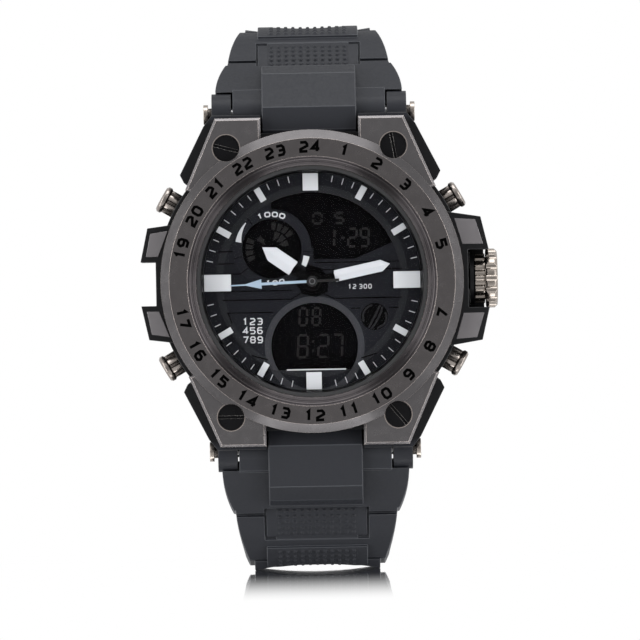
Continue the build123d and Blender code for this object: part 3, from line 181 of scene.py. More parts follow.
case_black = (0.003, 0.0032, 0.0038)
ear_grey = (0.0135, 0.0145, 0.018)
ears_from, ears_to = 24.6 * mm, 25.6 * mm
case_mat, tree, shader = new_material("case_resin", case_black, roughness=0.45, specular=0.18)
grain(tree, shader, scale=2600.0, strength=0.2, relief=0.01 * mm, roughness=(0.4, 0.52))
away = math_node(tree, "ABSOLUTE", object_axis(tree, "Z"))
ears = map_range(tree, away, ears_from, ears_to)
feed(tree, shader.inputs["Base Color"], color_mix(tree, ears, case_black, ear_grey))
# The case's rounded edges take a lighter grey: a painted highlight along them.
case_highlight_mat, tree, shader = new_material(
    "case_edge", (0.012, 0.0125, 0.014), roughness=0.42, specular=0.3)
grain(tree, shader, scale=2600.0, strength=0.1, relief=0.01 * mm, roughness=(0.38, 0.5))
case_body = finish_node("case_body", case_mat, width=0.08 * mm, edge_material=case_highlight_mat)
case_body.modifiers["edges"].use_clamp_overlap = False

# Guard pads: small metal plates let into the tops of the side guards. Pressed and
# painted satin grey.
pad_mat, tree, shader = new_material(
    "guard_pad_paint", (0.17, 0.161, 0.166), roughness=0.34, metallic=0.6)
grain(tree, shader, scale=1500.0, strength=0.02, relief=0.004 * mm, roughness=(0.34, 0.44))
finish_node("guard_pads", pad_mat, width=0.05 * mm)


# Bezel: one die-cast ring with four lug plates, plated in dark gunmetal. The inner
# slope is turned in fine rings and painted darker as shade, the outer slope is painted
# a darker grey as shade too, the plates have a grey of their own, and the edges carry
# a painted highlight.
def reach_from(tree, x=0.0, z=0.0):
    """Distance from the line along Y through (x, z), as a node output."""
    coords = tree.nodes.new("ShaderNodeTexCoord")
    flatten = tree.nodes.new("ShaderNodeVectorMath")
    flatten.operation = "MULTIPLY_ADD"
    flatten.inputs[1].default_value = (1.0, 0.0, 1.0)
    flatten.inputs[2].default_value = (-x, 0.0, -z)
    length = tree.nodes.new("ShaderNodeVectorMath")
    length.operation = "LENGTH"
    feed(tree, flatten.inputs[0], coords.outputs["Object"])
    feed(tree, length.inputs[0], flatten.outputs["Vector"])
    return length.outputs["Value"]


# The bezel's rounded edges take a lighter copper-tinted metal: a painted highlight along them.
bezel_highlight_mat, tree, shader = new_material(
    "bezel_edge", (0.4, 0.35, 0.325), roughness=0.36, metallic=1.0)
grain(tree, shader, scale=1200.0, strength=0.003, relief=0.001 * mm)

gunmetal = (0.15, 0.139, 0.14)
plate_gunmetal = (0.175, 0.167, 0.171)
# Painted shade: the outer slope's grey and the inner slope's two turning greys are darker than the
# face.
outer_slope_shade_grey = (0.085, 0.081, 0.083)
turning_shade_dark, turning_shade_light = (0.008, 0.0072, 0.008), (0.043, 0.039, 0.04)
engraving_black = (0.0015, 0.0015, 0.0015)
inner_slope_r = 19.42 * mm
outer_slope_r, outer_slope_half = 22.9 * mm, 0.68 * mm
plates_r = 23.58 * mm
ring_front_y = -13.6 * mm
engraving_r, engraving_half = 20.8 * mm, 1.2 * mm
engraving_y = -15.44 * mm
turning_scale, turning_from, turning_to = 5200.0, 0.35, 0.65

bezel_mat, tree, shader = new_material("bezel_gunmetal", gunmetal, roughness=0.25, metallic=1.0)
grain(tree, shader, scale=700.0, strength=0.003, relief=0.001 * mm, roughness=(0.22, 0.29))
reach = reach_from(tree)
depth = object_axis(tree, "Y")
rings = tree.nodes.new("ShaderNodeTexNoise")
rings.noise_dimensions = "1D"
rings.inputs["Scale"].default_value = turning_scale
rings.inputs["Detail"].default_value = 2.0
feed(tree, rings.inputs["W"], reach)
turning = map_range(tree, rings.outputs["Fac"], turning_from, turning_to)
inner_slope = math_node(tree, "LESS_THAN", reach, inner_slope_r)
outer_slope = math_node(tree, "COMPARE", reach, outer_slope_r, outer_slope_half)
outer_slope = math_node(tree, "MULTIPLY", outer_slope,
                        math_node(tree, "LESS_THAN", depth, ring_front_y))
plates = math_node(tree, "GREATER_THAN", reach, plates_r)
engraved = math_node(tree, "COMPARE", reach, engraving_r, engraving_half)
engraved = math_node(tree, "MULTIPLY", engraved,
                     math_node(tree, "GREATER_THAN", depth, engraving_y))
# The inner slope takes the turning rings in painted shade, the outer slope its painted shade grey.
turned = color_mix(tree, turning, turning_shade_dark, turning_shade_light)
paint = color_mix(tree, inner_slope, gunmetal, turned)
paint = color_mix(tree, outer_slope, paint, outer_slope_shade_grey)
paint = color_mix(tree, plates, paint, plate_gunmetal)
paint = color_mix(tree, engraved, paint, engraving_black)
feed(tree, shader.inputs["Base Color"], paint)
bare = math_node(tree, "SUBTRACT", 1.0, engraved)
feed(tree, shader.inputs["Metallic"], bare)
feed(tree, shader.inputs["Specular IOR Level"], bare)
bezel = finish_node("bezel", bezel_mat, width=0.1 * mm, angle=20.0, edge_material=bezel_highlight_mat)


# Bezel figures: a plain scale of 24 hours, engraved into the ring's face and filled
# black. A hidden mesh of bars is cut out of the bezel's mesh.
def bar(left, right, low, high, closed=False):
    """A bar between two edges of points (x, z), from rise low to rise high.

    The grid has four rows, left and right at the top, then right and left at the foot;
    one parameter runs round the rows, the other along the edges. Returns points
    (x, z, rise) and quads.
    """
    count = len(left)
    points = np.concatenate([np.column_stack((edge, np.full(count, rise))) for edge, rise
                             in ((left, high), (right, high), (right, low), (left, low))])
    here = np.arange(count if closed else count - 1)[:, None]
    ahead = (here + 1) % count
    row = np.arange(4) * count
    next_row = np.roll(row, -1)
    quads = np.stack((here + row, here + next_row, ahead + next_row, ahead + row), axis=-1)
    quads = quads.reshape(-1, 4)
    if not closed:
        quads = np.concatenate((quads, [row[::-1], row + count - 1]))
    return points, quads


def stroke(path, width, low, high, closed=False):
    """Mitred bar of a width along a flat path, from rise low to rise high.

    Each corner steps sideways by half the width over the cosine of half its turn, along
    the mean of its two side directions.
    """
    path = np.asarray(path, dtype=float)
    after = np.roll(path, -1, axis=0) - path
    if not closed:
        after[-1] = after[-2]
    after /= np.linalg.norm(after, axis=1, keepdims=True)
    before = np.roll(after, 1, axis=0)
    if not closed:
        before[0] = after[0]
    side = np.column_stack((-after[:, 1], after[:, 0]))
    mean = side + np.column_stack((-before[:, 1], before[:, 0]))
    mean /= np.sum(mean * side, axis=1, keepdims=True)
    return bar(path + mean * width / 2, path - mean * width / 2, low, high, closed)


def joined(bars):
    """Several bars' points as one array and their quads as one list."""
    starts = np.cumsum([0] + [len(points) for points, quads in bars])
    points = np.concatenate([points for points, quads in bars])
    quads = np.concatenate([quads + start for (points, quads), start in zip(bars, starts)])
    return points, quads.tolist()


def clock_ray(degrees):
    """The direction (x, z) of a clock angle, clockwise from twelve, or one row for each."""
    turn = np.radians(degrees)
    return np.stack((np.sin(turn), np.cos(turn)), axis=-1)


def mesh_piece(name, points, faces, material, body="case", in_row_frame=False):
    """A mesh object from points (x, z, rise) in millimetres, or (x, y, z) in metres."""
    if not in_row_frame:
        points = np.column_stack((points[:, 0], -points[:, 2], points[:, 1])) * mm
    mesh = bpy.data.meshes.new(name)
    mesh.from_pydata(points.tolist(), [], faces)
    mesh.validate()
    mesh.materials.append(material)
    obj = bpy.data.objects.new(name, mesh)
    bpy.context.scene.collection.objects.link(obj)
    if body:
        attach(obj, body)
    return obj


# Each figure's strokes as shares of its width and height, from its lower left corner,
# each with whether it closes on itself. Bowls have their corners cut at near and far.
near, far = 0.22, 0.78
figure_shares = {
    "0": [([(near, 0), (far, 0), (1, near), (1, far), (far, 1), (near, 1), (0, far),
            (0, near)], True)],
    "1": [([(0.2, 0.8), (0.5, 1), (0.5, 0)], False)],
    "2": [([(0, 1), (far, 1), (1, far), (1, 0.6), (0, 0.25), (0, 0), (1, 0)], False)],
    "3": [([(0, 1), (far, 1), (1, far), (1, near), (far, 0), (0, 0)], False),
          ([(0.25, 0.5), (1, 0.5)], False)],
    "4": [([(0.75, 0), (0.75, 1), (0, 0.3), (1.1, 0.3)], False)],
    "5": [([(1, 1), (0, 1), (0, 0.58), (far, 0.58), (1, 0.36), (1, near), (far, 0),
            (0, 0)], False)],
    "6": [([(1, 1), (near, 1), (0, far), (0, near), (near, 0), (far, 0), (1, near),
            (1, 0.34), (far, 0.56), (0.1, 0.56)], False)],
    "7": [([(0, 1), (1, 1), (0.4, 0)], False)],
    "8": [([(near, 0), (far, 0), (1, near), (1, 0.38), (0.84, 0.52), (1, 0.66), (1, far),
            (far, 1), (near, 1), (0, far), (0, 0.66), (0.16, 0.52), (0, 0.38),
            (0, near)], True),
          ([(0.16, 0.52), (0.84, 0.52)], False)],
    "9": [([(0, 0), (far, 0), (1, near), (1, far), (far, 1), (near, 1), (0, far),
            (0, 0.66), (near, 0.44), (0.9, 0.44)], False)],
}


def figure(digit, center, height, width, line, low, high, turn=0.0):
    """Bars of one plain digit about a centre (x, z), turned clockwise by degrees."""
    across = clock_ray(turn + 90)
    upward = clock_ray(turn)
    bars = []
    for shares, closed in figure_shares[digit]:
        path = (np.array(shares) - 0.5) * (width - line, height - line)
        points, quads = stroke(path, line, low, high, closed)
        points[:, :2] = center + points[:, :1] * across + points[:, 1:2] * upward
        bars.append((points, quads))
    return bars


ring_face = 15.5
scale_r = 20.85
scale_height, scale_width, scale_line = 1.85, 1.5, 0.44
scale_gap = 0.3
scale_pitch = np.degrees((scale_width + scale_gap) / scale_r)
engraving_depth = 0.14
day = 24
blank_hours = (6, 18)
bars = []
for hour in range(1, day + 1):
    if hour in blank_hours:
        continue
    clock = 360 / day * hour
    upright = clock < 90 or clock > 270
    for index, digit in enumerate(str(hour)):
        step = (index - (len(str(hour)) - 1) / 2) * scale_pitch
        at = clock + (step if upright else -step)
        bars += figure(digit, scale_r * clock_ray(at), scale_height, scale_width, scale_line,
                       ring_face - engraving_depth, ring_face + engraving_depth,
                       at if upright else at + 180)
figures = mesh_piece("bezel_figures", *joined(bars), bezel_mat, body=None)
figures.hide_render = True
figures.hide_viewport = True
cut = bezel.modifiers.new("figures", "BOOLEAN")
cut.object = figures
cut.operation = "DIFFERENCE"
cut.solver = "EXACT"
cut.use_self = True
bezel.modifiers.move(len(bezel.modifiers) - 1, len(bezel.modifiers) - 2)

# Crown recess web: a thin black wall of the case behind the crown, from guard to
# guard, with a step up to each guard. Moulded with the case.
web_x, web_depth, web_half = 25.72, 2.44, 5.6
web_low, web_high = 1.9, 2.7
step_x, step_depth, step_from = 25.5, 2.0, 4.9
step_low, step_high = 2.6, 3.25
bars = [stroke([(web_x, -web_half), (web_x, web_half)], web_depth, web_low, web_high)]
for side in (-1, 1):
    path = [(step_x, side * step_from), (step_x, side * web_half)]
    bars.append(stroke(path, step_depth, step_low, step_high))
mesh_piece("crown_recess_web", *joined(bars), case_mat)

# Bezel screws: slotted steel screws at the four corners. Turned heads with a milled
# slot, blackened, with a painted highlight along their edges.
screw_mat, tree, shader = new_material(
    "black_screw", (0.008, 0.008, 0.009), roughness=0.32, metallic=0.6, specular=0.2)
grain(tree, shader, scale=1800.0, strength=0.02, relief=0.004 * mm, roughness=(0.25, 0.36))
# A light steel on the rounded edges of heads and slots: a painted highlight.
screw_highlight_mat, tree, shader = new_material("screw_edge_highlight", (0.4, 0.385, 0.37), roughness=0.45, metallic=1.0)
grain(tree, shader, scale=1800.0, strength=0.01, relief=0.002 * mm, roughness=(0.4, 0.5))
finish_node("bezel_screws", screw_mat, width=0.13 * mm, edge_material=screw_highlight_mat)

# Screw hole rims: a thin ring at the edge of each corner screw's hole, in the bezel's
# lighter edge material, a painted highlight. Part of the bezel's metal.
plate_face = 12.8
screw_x, screw_z = 13.0, 20.9
rim_r, rim_width, rim_sunk, rim_proud = 2.16, 0.11, 0.1, 0.01
rim_steps = 48
circle = rim_r * clock_ray(np.arange(0, 360, 360 / rim_steps))
bars = [stroke(circle + (side_x * screw_x, side_z * screw_z), rim_width,
               plate_face - rim_sunk, plate_face + rim_proud, closed=True)
        for side_x in (-1, 1) for side_z in (-1, 1)]
mesh_piece("screw_hole_rims", *joined(bars), bezel_highlight_mat)

# Crystal: a clear mineral glass, flat on both sides with a polished edge.
# A trace of grain stands for dust on the outside.
glass_mat, tree, shader = new_material("mineral_glass", (1.0, 1.0, 1.0), roughness=0.0)
shader.inputs["Transmission Weight"].default_value = 1.0
shader.inputs["IOR"].default_value = 1.07
grain(tree, shader, scale=400.0, strength=0.004, relief=0.01 * mm)
finish_node("crystal", glass_mat)

# Gaskets and display connectors: moulded black rubber rings round the glass, the case
# back and the crown's stem, and two rubber strips on the board. Plain matt surface.
rubber_mat, tree, shader = new_material("gasket_rubber", (0.008, 0.008, 0.009), roughness=0.6)
grain(tree, shader, scale=2000.0, strength=0.2, relief=0.01 * mm)
for name in ("crystal_gasket", "case_back_gasket", "crown_gasket", "display_connectors"):
    finish_node(name, rubber_mat)

# Chapter ring: a moulded ring that holds the dial down.
# Satin black plastic.
chapter_mat, tree, shader = new_material(
    "chapter_black", (0.006, 0.006, 0.007), roughness=0.4, specular=0.2)
grain(tree, shader, scale=2000.0, strength=0.1, relief=0.01 * mm)
finish_node("chapter_ring", chapter_mat)

# Dial and sub-dial ring: dark plastic, moulded with a raised field, grooves and
# windows. Matt charcoal with a lighter band inside the ticks and a lighter rim round
# the lower window.
charcoal = (0.0075, 0.008, 0.0105)
field_grey = (0.0096, 0.0102, 0.0132)
band_grey = (0.018, 0.0185, 0.0215)
window_rim_grey = (0.034, 0.035, 0.04)
band_r, band_half = 14.45 * mm, 0.56 * mm
window_x, window_z = 0.2 * mm, -10.1 * mm
window_rim_r, window_rim_half = 7.26 * mm, 0.52 * mm
dial_mat, tree, shader = new_material("dial_charcoal", charcoal, roughness=0.55, specular=0.06)
grain(tree, shader, scale=3000.0, strength=0.15, relief=0.005 * mm, roughness=(0.5, 0.62))
band = math_node(tree, "COMPARE", reach_from(tree), band_r, band_half)
window_reach = reach_from(tree, window_x, window_z)
window_rim = math_node(tree, "COMPARE", window_reach, window_rim_r, window_rim_half)
paint = color_mix(tree, band, field_grey, band_grey)
feed(tree, shader.inputs["Base Color"], color_mix(tree, window_rim, paint, window_rim_grey))
finish_node("dial", dial_mat, width=0.03 * mm)
finish_node("sub_dial_ring", dial_mat, width=0.04 * mm)

# Dial print: minute ticks, small plain figures and a bar under the lower window.
# Screen printed in off-white ink of a visible thickness.
ink_mat, tree, shader = new_material("dial_ink", (0.5, 0.51, 0.53), roughness=0.5, specular=0.2)
grain(tree, shader, scale=3000.0, strength=0.1, relief=0.01 * mm)
ink = 0.02
dial_floor, dial_field = 10.3, 10.52
field_ink = (dial_field, dial_field + ink)
sub_dial = np.array([-6.2, 5.2])
ring_top = 10.7
ring_ink = (ring_top, ring_top + ink)

tick_from, tick_to, tick_width = 15.75, 16.75, 0.13
bars = []
for minute in range(60):
    # No tick stands under an hour marker, nor beside the four wide ones.
    if minute % 5 == 0 or minute % 15 in (1, 14):
        continue
    ray = clock_ray(360 / 60 * minute)
    bars.append(stroke([ray * tick_from, ray * tick_to], tick_width, dial_floor, dial_floor + ink))

# Each size is a figure's height, width and width of line.
table_x, table_z, table_column, table_row = -9.4, -6.1, 1.12, 1.42
table_size = (1.1, 0.88, 0.19)
for row, digits in enumerate(("123", "456", "789")):
    for index, digit in enumerate(digits):
        center = (table_x + (index - 1) * table_column, table_z - row * table_row)
        bars += figure(digit, center, *table_size, *field_ink)

legend_x, legend_z, legend_column, legend_space = 5.85, -0.93, 0.72, 0.25
legend_size = (0.74, 0.55, 0.13)
for index, digit in enumerate("12300"):
    space = legend_space if index > 1 else 0.0
    center = (legend_x + index * legend_column + space, legend_z)
    bars += figure(digit, center, *legend_size, *field_ink)

sub_figures_r = 5.35
upper_from, upper_pitch, upper_size = -18.75, 12.5, (0.85, 0.95, 0.2)
lower_from, lower_pitch, lower_size = 187.0, 11.5, (0.8, 0.85, 0.19)
for index, digit in enumerate("1000"):
    turn = upper_from + upper_pitch * index
    center = sub_dial + sub_figures_r * clock_ray(turn)
    bars += figure(digit, center, *upper_size, *ring_ink, turn)
for index, digit in enumerate("100"):
    turn = lower_from - lower_pitch * index
    center = sub_dial + sub_figures_r * clock_ray(turn)
    bars += figure(digit, center, *lower_size, *ring_ink, turn + 180)

window_bar_from, window_bar_to, window_bar_z, window_bar_width = -4.2, 5.0, -13.74, 0.2
path = [(window_bar_from, window_bar_z), (window_bar_to, window_bar_z)]
bars.append(stroke(path, window_bar_width, *field_ink))
mesh_piece("dial_print", *joined(bars), ink_mat)


# Sub-dial accents: a white crescent and a short white block on the sub-dial's ring.
# Printed with the dial's figures.
def crescent(center, low, high, start, end, wide, narrow, outer, steps=24):
    """A bar bent about a centre between two clock angles, wide at its start.

    The outer edge keeps one radius, and the inner one runs evenly from outer less wide
    to outer less narrow.
    """
    rays = clock_ray(np.linspace(start, end, steps))
    width = np.linspace(wide, narrow, steps)[:, None]
    return bar(center + rays * outer, center + rays * (outer - width), low, high)


bars = [
    crescent(sub_dial, *ring_ink, start=282.0, end=316.0, wide=0.95, narrow=0.12, outer=5.75),
    crescent(sub_dial, *ring_ink, start=103.0, end=119.0, wide=0.95, narrow=0.75, outer=6.0),
]
mesh_piece("sub_dial_accents", *joined(bars), ink_mat)

# Display figures: dim segments of the reversed display, seen through the dial's
# windows. Seven straight bars a digit, hardly lighter than the panel.
segment_mat, tree, shader = new_material(
    "display_segment", (0.017, 0.017, 0.0175), roughness=0.5, specular=0.02)
grain(tree, shader, scale=1500.0, strength=0.05, relief=0.01 * mm)
panel_top = 9.7
panel_ink = (panel_top, panel_top + ink)
segment_shares = {
    "a": ((0, 1), (1, 1)), "b": ((1, 1), (1, 0.5)), "c": ((1, 0.5), (1, 0)),
    "d": ((0, 0), (1, 0)), "e": ((0, 0.5), (0, 0)), "f": ((0, 1), (0, 0.5)),
    "g": ((0, 0.5), (1, 0.5)),
}
segment_digits = {
    "0": "abcdef", "1": "bc", "2": "abged", "5": "afgcd", "7": "abc", "8": "abcdefg",
    "9": "abcdfg", "-": "g",
}


def segments(digit, center, height, width, line=0.36, slant=0.06, pulled_share=0.4):
    """Bars of a display digit that leans right by slant times its height.

    Each bar is pulled in at both ends by a share of its width, so that they stay apart.
    """
    bars = []
    for name in segment_digits[digit]:
        ends = (np.array(segment_shares[name], dtype=float) - 0.5) * (width - line, height - line)
        along = (ends[1] - ends[0]) / np.linalg.norm(ends[1] - ends[0])
        ends += np.outer((1, -1), along * line * pulled_share)
        ends[:, 0] += slant * ends[:, 1]
        bars.append(stroke(ends + center, line, *panel_ink))
    return bars


# Each row's place in z and height, then the figures with their place in x and width.
display_rows = (
    (9.8, 1.95, (("0", 1.0, 1.7), ("5", 4.4, 1.7))),
    (6.7, 3.1, (("1", 3.0, 1.5), ("-", 4.9, 1.2), ("2", 6.4, 1.6), ("9", 8.3, 1.6))),
    (-5.5, 3.0, (("0", -1.5, 1.5), ("8", 0.55, 1.5))),
    (-10.1, 3.8, (("8", -1.65, 1.85), ("2", 1.55, 1.85), ("7", 3.75, 1.85))),
)
bars = []
for z, height, digits in display_rows:
    for digit, x, width in digits:
        bars += segments(digit, (x, z), height, width)
dot_from, dot_to, dot_width = -0.25, 0.1, 0.35
for z in (-9.4, -10.8):
    bars.append(stroke([(dot_from, z), (dot_to, z)], dot_width, *panel_ink))
outer_span, inner_span = 11.0, 20.0
for clock in (0, 15, 30, 45, 240, 255, 270, 285):
    bars.append(crescent(sub_dial, *panel_ink, start=clock, end=clock + outer_span,
                         wide=1.15, narrow=1.15, outer=4.1, steps=4))
for clock in (-60, 10, 35, 60):
    bars.append(crescent(sub_dial, *panel_ink, start=clock, end=clock + inner_span,
                         wide=1.5, narrow=0.9, outer=2.7, steps=5))
mesh_piece("display_figures", *joined(bars), segment_mat)

# Dial lines: narrow black lines that part the field into panels, the dark plate under
# the hands and the rays on the sub-dial's ring. Moulded grooves, filled black.
line_mat, tree, shader = new_material(
    "dial_line_black", (0.0012, 0.0012, 0.0014), roughness=0.6, specular=0.02)
grain(tree, shader, scale=2000.0, strength=0.05, relief=0.005 * mm)
line_width, line_rise = 0.17, 0.012
field_line = (dial_field, dial_field + line_rise)
field_paths = (
    [(-14.0, -2.72), (-3.3, -2.72), (-1.6, -1.7)],
    [(-13.4, -4.72), (-6.2, -4.72)],
    [(-14.4, -1.35), (-3.0, -1.35)],
    [(-14.5, 4.85), (-12.3, 4.85)],
    [(-14.6, 2.95), (-12.0, 2.95)],
    [(-14.6, 1.35), (-10.7, 1.35)],
    [(1.6, -1.9), (3.4, -2.72), (14.0, -2.72)],
    [(5.9, -4.3), (7.4, -4.3)],
    [(11.9, -4.3), (13.4, -4.3)],
    [(0.4, 2.9), (13.6, 2.9)],
    [(0.9, 1.75), (14.0, 1.75)],
    [(-12.6, -6.3), (-13.2, -4.72)],
    [(-7.1, -12.1), (-9.6, -11.4)],
    [(7.4, -12.1), (9.8, -11.4)],
)
bars = [stroke(path, line_width, *field_line) for path in field_paths]
# The plate is a closed stroke so wide that it fills itself.
plate_path = [(-1.35, 0.0), (-0.75, -0.9), (0.45, -1.2), (1.25, -0.85), (1.35, 0.15),
              (0.75, 0.95), (-0.35, 1.3)]
plate_width = 2.4
bars.append(stroke(plate_path, plate_width, *field_line, closed=True))
ray_from, ray_to, ray_width = 4.75, 6.05, 0.12
for turn in (96.0, 112.0, 232.0, 256.0, 322.0, 338.0):
    ray = clock_ray(turn)
    bars.append(stroke([sub_dial + ray * ray_from, sub_dial + ray * ray_to], ray_width,
                       ring_top, ring_top + line_rise))
mesh_piece("dial_lines", *joined(bars), line_mat)

# Recess ribs: bowed bars across the round recess of the dial, over a black floor.
# Moulded, slightly raised from the recess's floor.
rib_mat, tree, shader = new_material(
    "recess_ribs", (0.011, 0.0115, 0.013), roughness=0.5, specular=0.1)
grain(tree, shader, scale=2000.0, strength=0.1, relief=0.01 * mm)
recess = np.array([9.6, -5.66])
recess_r = 2.2
rib_half, rib_width, rib_low, rib_high = 2.0, 0.3, 10.27, 10.42
rib_turn = 28
middle_share, fall_share = 1.2, 0.45
bars = []
for bow in (-1.5, 0.0, 0.55, 1.6):
    # A rib lies at a share of its bow that falls with the square of the way to its ends.
    along = np.linspace(-1, 1, 13)
    out = bow * (middle_share - fall_share * along**2)
    up = along * rib_half * np.sqrt(1 - (bow / recess_r) ** 2)
    path = recess + np.outer(out, clock_ray(rib_turn + 90)) + np.outer(up, clock_ray(rib_turn))
    bars.append(stroke(path, rib_width, rib_low, rib_high))
mesh_piece("recess_ribs", *joined(bars), rib_mat)
floor_middle, floor_width, floor_low, floor_high = 1.06, 2.1, 10.25, 10.285
floor_steps = 36
path = recess + floor_middle * clock_ray(np.arange(0, 360, 360 / floor_steps))
bars = [stroke(path, floor_width, floor_low, floor_high, closed=True)]
mesh_piece("recess_floor", *joined(bars), line_mat)

# Hour markers: applied blocks with slightly rough tops.
# Pressed metal, painted white.
marker_mat, tree, shader = new_material(
    "marker_white", (0.58, 0.595, 0.62), roughness=0.5, specular=0.2)
grain(tree, shader, scale=2500.0, strength=0.3, relief=0.02 * mm)
finish_node("hour_markers", marker_mat, width=0.05 * mm)

# Display panel: a dark reversed liquid crystal display behind the dial's windows.
# Smooth, nearly black glass.
panel_mat, tree, shader = new_material(
    "display_black", (0.0015, 0.0015, 0.002), roughness=0.3, specular=0.02)
grain(tree, shader, scale=900.0, strength=0.01, relief=0.002 * mm)
finish_node("display_panel", panel_mat)

# Movement holder: an injection moulded frame round the module, hidden when the watch
# is closed. Pale plain plastic.
holder_mat, tree, shader = new_material("holder_plastic", (0.5, 0.5, 0.48), roughness=0.5)
grain(tree, shader, scale=1500.0, strength=0.1, relief=0.01 * mm)
finish_node("movement_holder", holder_mat)

# Circuit board: glass fibre laminate under a green lacquer.
# Hidden behind the display.
board_mat, tree, shader = new_material("board_green", (0.01, 0.09, 0.04), roughness=0.4)
grain(tree, shader, scale=1500.0, strength=0.1, relief=0.01 * mm)
finish_node("circuit_board", board_mat)

# Movement, battery and small steel pieces: the clip, stem, arbor, pusher sleeves,
# springs and clips, and the bars of strap and buckle. Plain bright steel, as rolled
# or turned.
steel_mat, tree, shader = new_material(
    "plain_steel", (0.42, 0.42, 0.43), roughness=0.3, metallic=1.0)
grain(tree, shader, scale=1200.0, strength=0.08, relief=0.01 * mm, roughness=(0.24, 0.38))
for name in (
    "analog_movement", "battery", "battery_clip", "crown_stem", "pusher_sleeves",
    "pusher_springs", "seconds_arbor", "strap_bar_upper", "strap_bar_lower", "buckle_bar",
    "pusher_clip_upper_left", "pusher_clip_upper_right", "pusher_clip_lower_left",
    "pusher_clip_lower_right",
):
    finish_node(name, steel_mat)

# Buzzer disc, hand pipes and setting pinion: turned and stamped brass.
# Hidden when the watch is closed.
brass_mat, tree, shader = new_material(
    "plain_brass", (0.55, 0.38, 0.15), roughness=0.3, metallic=1.0)
grain(tree, shader, scale=1200.0, strength=0.08, relief=0.01 * mm, roughness=(0.24, 0.38))
for name in ("buzzer_disc", "hour_pipe", "minute_pipe", "setting_pinion"):
    finish_node(name, brass_mat)

# Crown tube: a turned steel tube pressed into the case, in which the stem runs.
# Blackened like the case, so that it stays dark behind the crown.
finish_node("crown_tube", case_mat)

# Case back and its screws: a pressed steel plate, brushed in straight lines.
# The screws are small and blackened.
back_mat, tree, shader = new_material("back_steel", (0.4, 0.4, 0.41), roughness=0.35, metallic=1.0)
grain(tree, shader, scale=900.0, strength=0.12, relief=0.01 * mm, roughness=(0.28, 0.46),
      stretch=(0.05, 1.0, 1.0))
finish_node("case_back", back_mat, width=0.08 * mm)
finish_node("case_back_screws", screw_mat, width=0.04 * mm)

# Hour and minute hands: stamped brass, white towards the tip and black near the hub.
# The colour changes at a fixed distance from the axis of the hands.
hand_white, hand_black = (0.52, 0.535, 0.57), (0.0015, 0.0015, 0.0018)
hand_white_r = 3.6 * mm
hand_sheen, hub_sheen = 0.27, 0.05
hand_mat, tree, shader = new_material("hand_paint", hand_white, roughness=0.42, specular=0.3)
grain(tree, shader, scale=2500.0, strength=0.1, relief=0.01 * mm)
white_part = math_node(tree, "GREATER_THAN", reach_from(tree), hand_white_r)
paint = color_mix(tree, white_part, hand_black, hand_white)
feed(tree, shader.inputs["Base Color"], paint)
sheen = map_range(tree, white_part, 0.0, 1.0, low=hub_sheen, high=hand_sheen)
feed(tree, shader.inputs["Specular IOR Level"], sheen)
finish_node("hour_hand", hand_mat, width=0.03 * mm)
finish_node("minute_hand", hand_mat, width=0.03 * mm)


# Hand ridges: the white part of each hand is folded to a low roof along its middle.
# Coined with the hand, painted white.
def hand_ridge(name, body, clock, root, shoulder, tip, root_half, shoulder_half, top, rise=0.16):
    """A roof on a hand that points at a clock angle, above the rise of the hand's top.

    Its rim runs from the root to the shoulder and the tip and back, at the top; its
    crest lies on the middle line from root to shoulder, higher by the roof's rise.
    """
    ray = clock_ray(clock)
    side = clock_ray(clock + 90)
    rim = [ray * root + side * root_half, ray * shoulder + side * shoulder_half, ray * tip,
           ray * shoulder - side * shoulder_half, ray * root - side * root_half]
    crest = [ray * root, ray * shoulder]
    points = [(*point, top) for point in rim] + [(*point, top + rise) for point in crest]
    faces = [(0, 5, 6, 1), (1, 6, 2), (2, 6, 3), (3, 6, 5, 4), (4, 5, 0), (0, 1, 2, 3, 4)]
    return mesh_piece(name, np.array(points), faces, hand_mat, body)


hand_ridge("hour_hand_ridge", "hour", clock=305.3, root=3.62, shoulder=7.4, tip=9.3,
           root_half=1.05, shoulder_half=0.95, top=11.15)
hand_ridge("minute_hand_ridge", "minute", clock=78.3, root=3.72, shoulder=10.9, tip=12.3,
           root_half=0.72, shoulder_half=0.66, top=11.6)

# Seconds hand: a steel needle with an arrowhead and a small cap over its hub. Satin
# paint, pale blue along the needle and black at the hub and the tail. A grey ring on the
# cap is a painted highlight.
second_blue, second_black, cap_highlight_grey = (0.36, 0.46, 0.57), (0.006, 0.006, 0.007), (0.12, 0.12, 0.13)
blue_from_x = -0.9 * mm
cap_highlight_r, cap_highlight_half = 0.42 * mm, 0.07 * mm
second_mat, tree, shader = new_material("second_blue", second_blue, roughness=0.35, metallic=0.3)
grain(tree, shader, scale=2500.0, strength=0.05, relief=0.005 * mm)
needle = math_node(tree, "LESS_THAN", object_axis(tree, "X"), blue_from_x)
cap_highlight_ring = math_node(tree, "COMPARE", reach_from(tree), cap_highlight_r, cap_highlight_half)
paint = color_mix(tree, needle, second_black, second_blue)
feed(tree, shader.inputs["Base Color"], color_mix(tree, cap_highlight_ring, paint, cap_highlight_grey))
finish_node("second_hand", second_mat, width=0.02 * mm)

# Crown and strap bar screws: turned steel with a warm polish, milled with grooves and
# slots. Fine grain in the roughness breaks their shine.
crown_mat, tree, shader = new_material(
    "crown_steel", (0.33, 0.295, 0.265), roughness=0.2, metallic=1.0)
grain(tree, shader, scale=1400.0, strength=0.08, relief=0.01 * mm, roughness=(0.15, 0.3))
finish_node("crown", crown_mat, width=0.06 * mm)
finish_node("strap_bar_screws", crown_mat, width=0.06 * mm)

# Pushers: four turned steel buttons with a fluted neck, a little darker than the
# crown. Polished.
pusher_mat, tree, shader = new_material(
    "pusher_steel", (0.3, 0.27, 0.25), roughness=0.22, metallic=1.0)
grain(tree, shader, scale=1400.0, strength=0.08, relief=0.01 * mm, roughness=(0.16, 0.32))
for name in ("pusher_upper_left", "pusher_upper_right", "pusher_lower_left", "pusher_lower_right"):
    finish_node(name, pusher_mat, width=0.05 * mm)

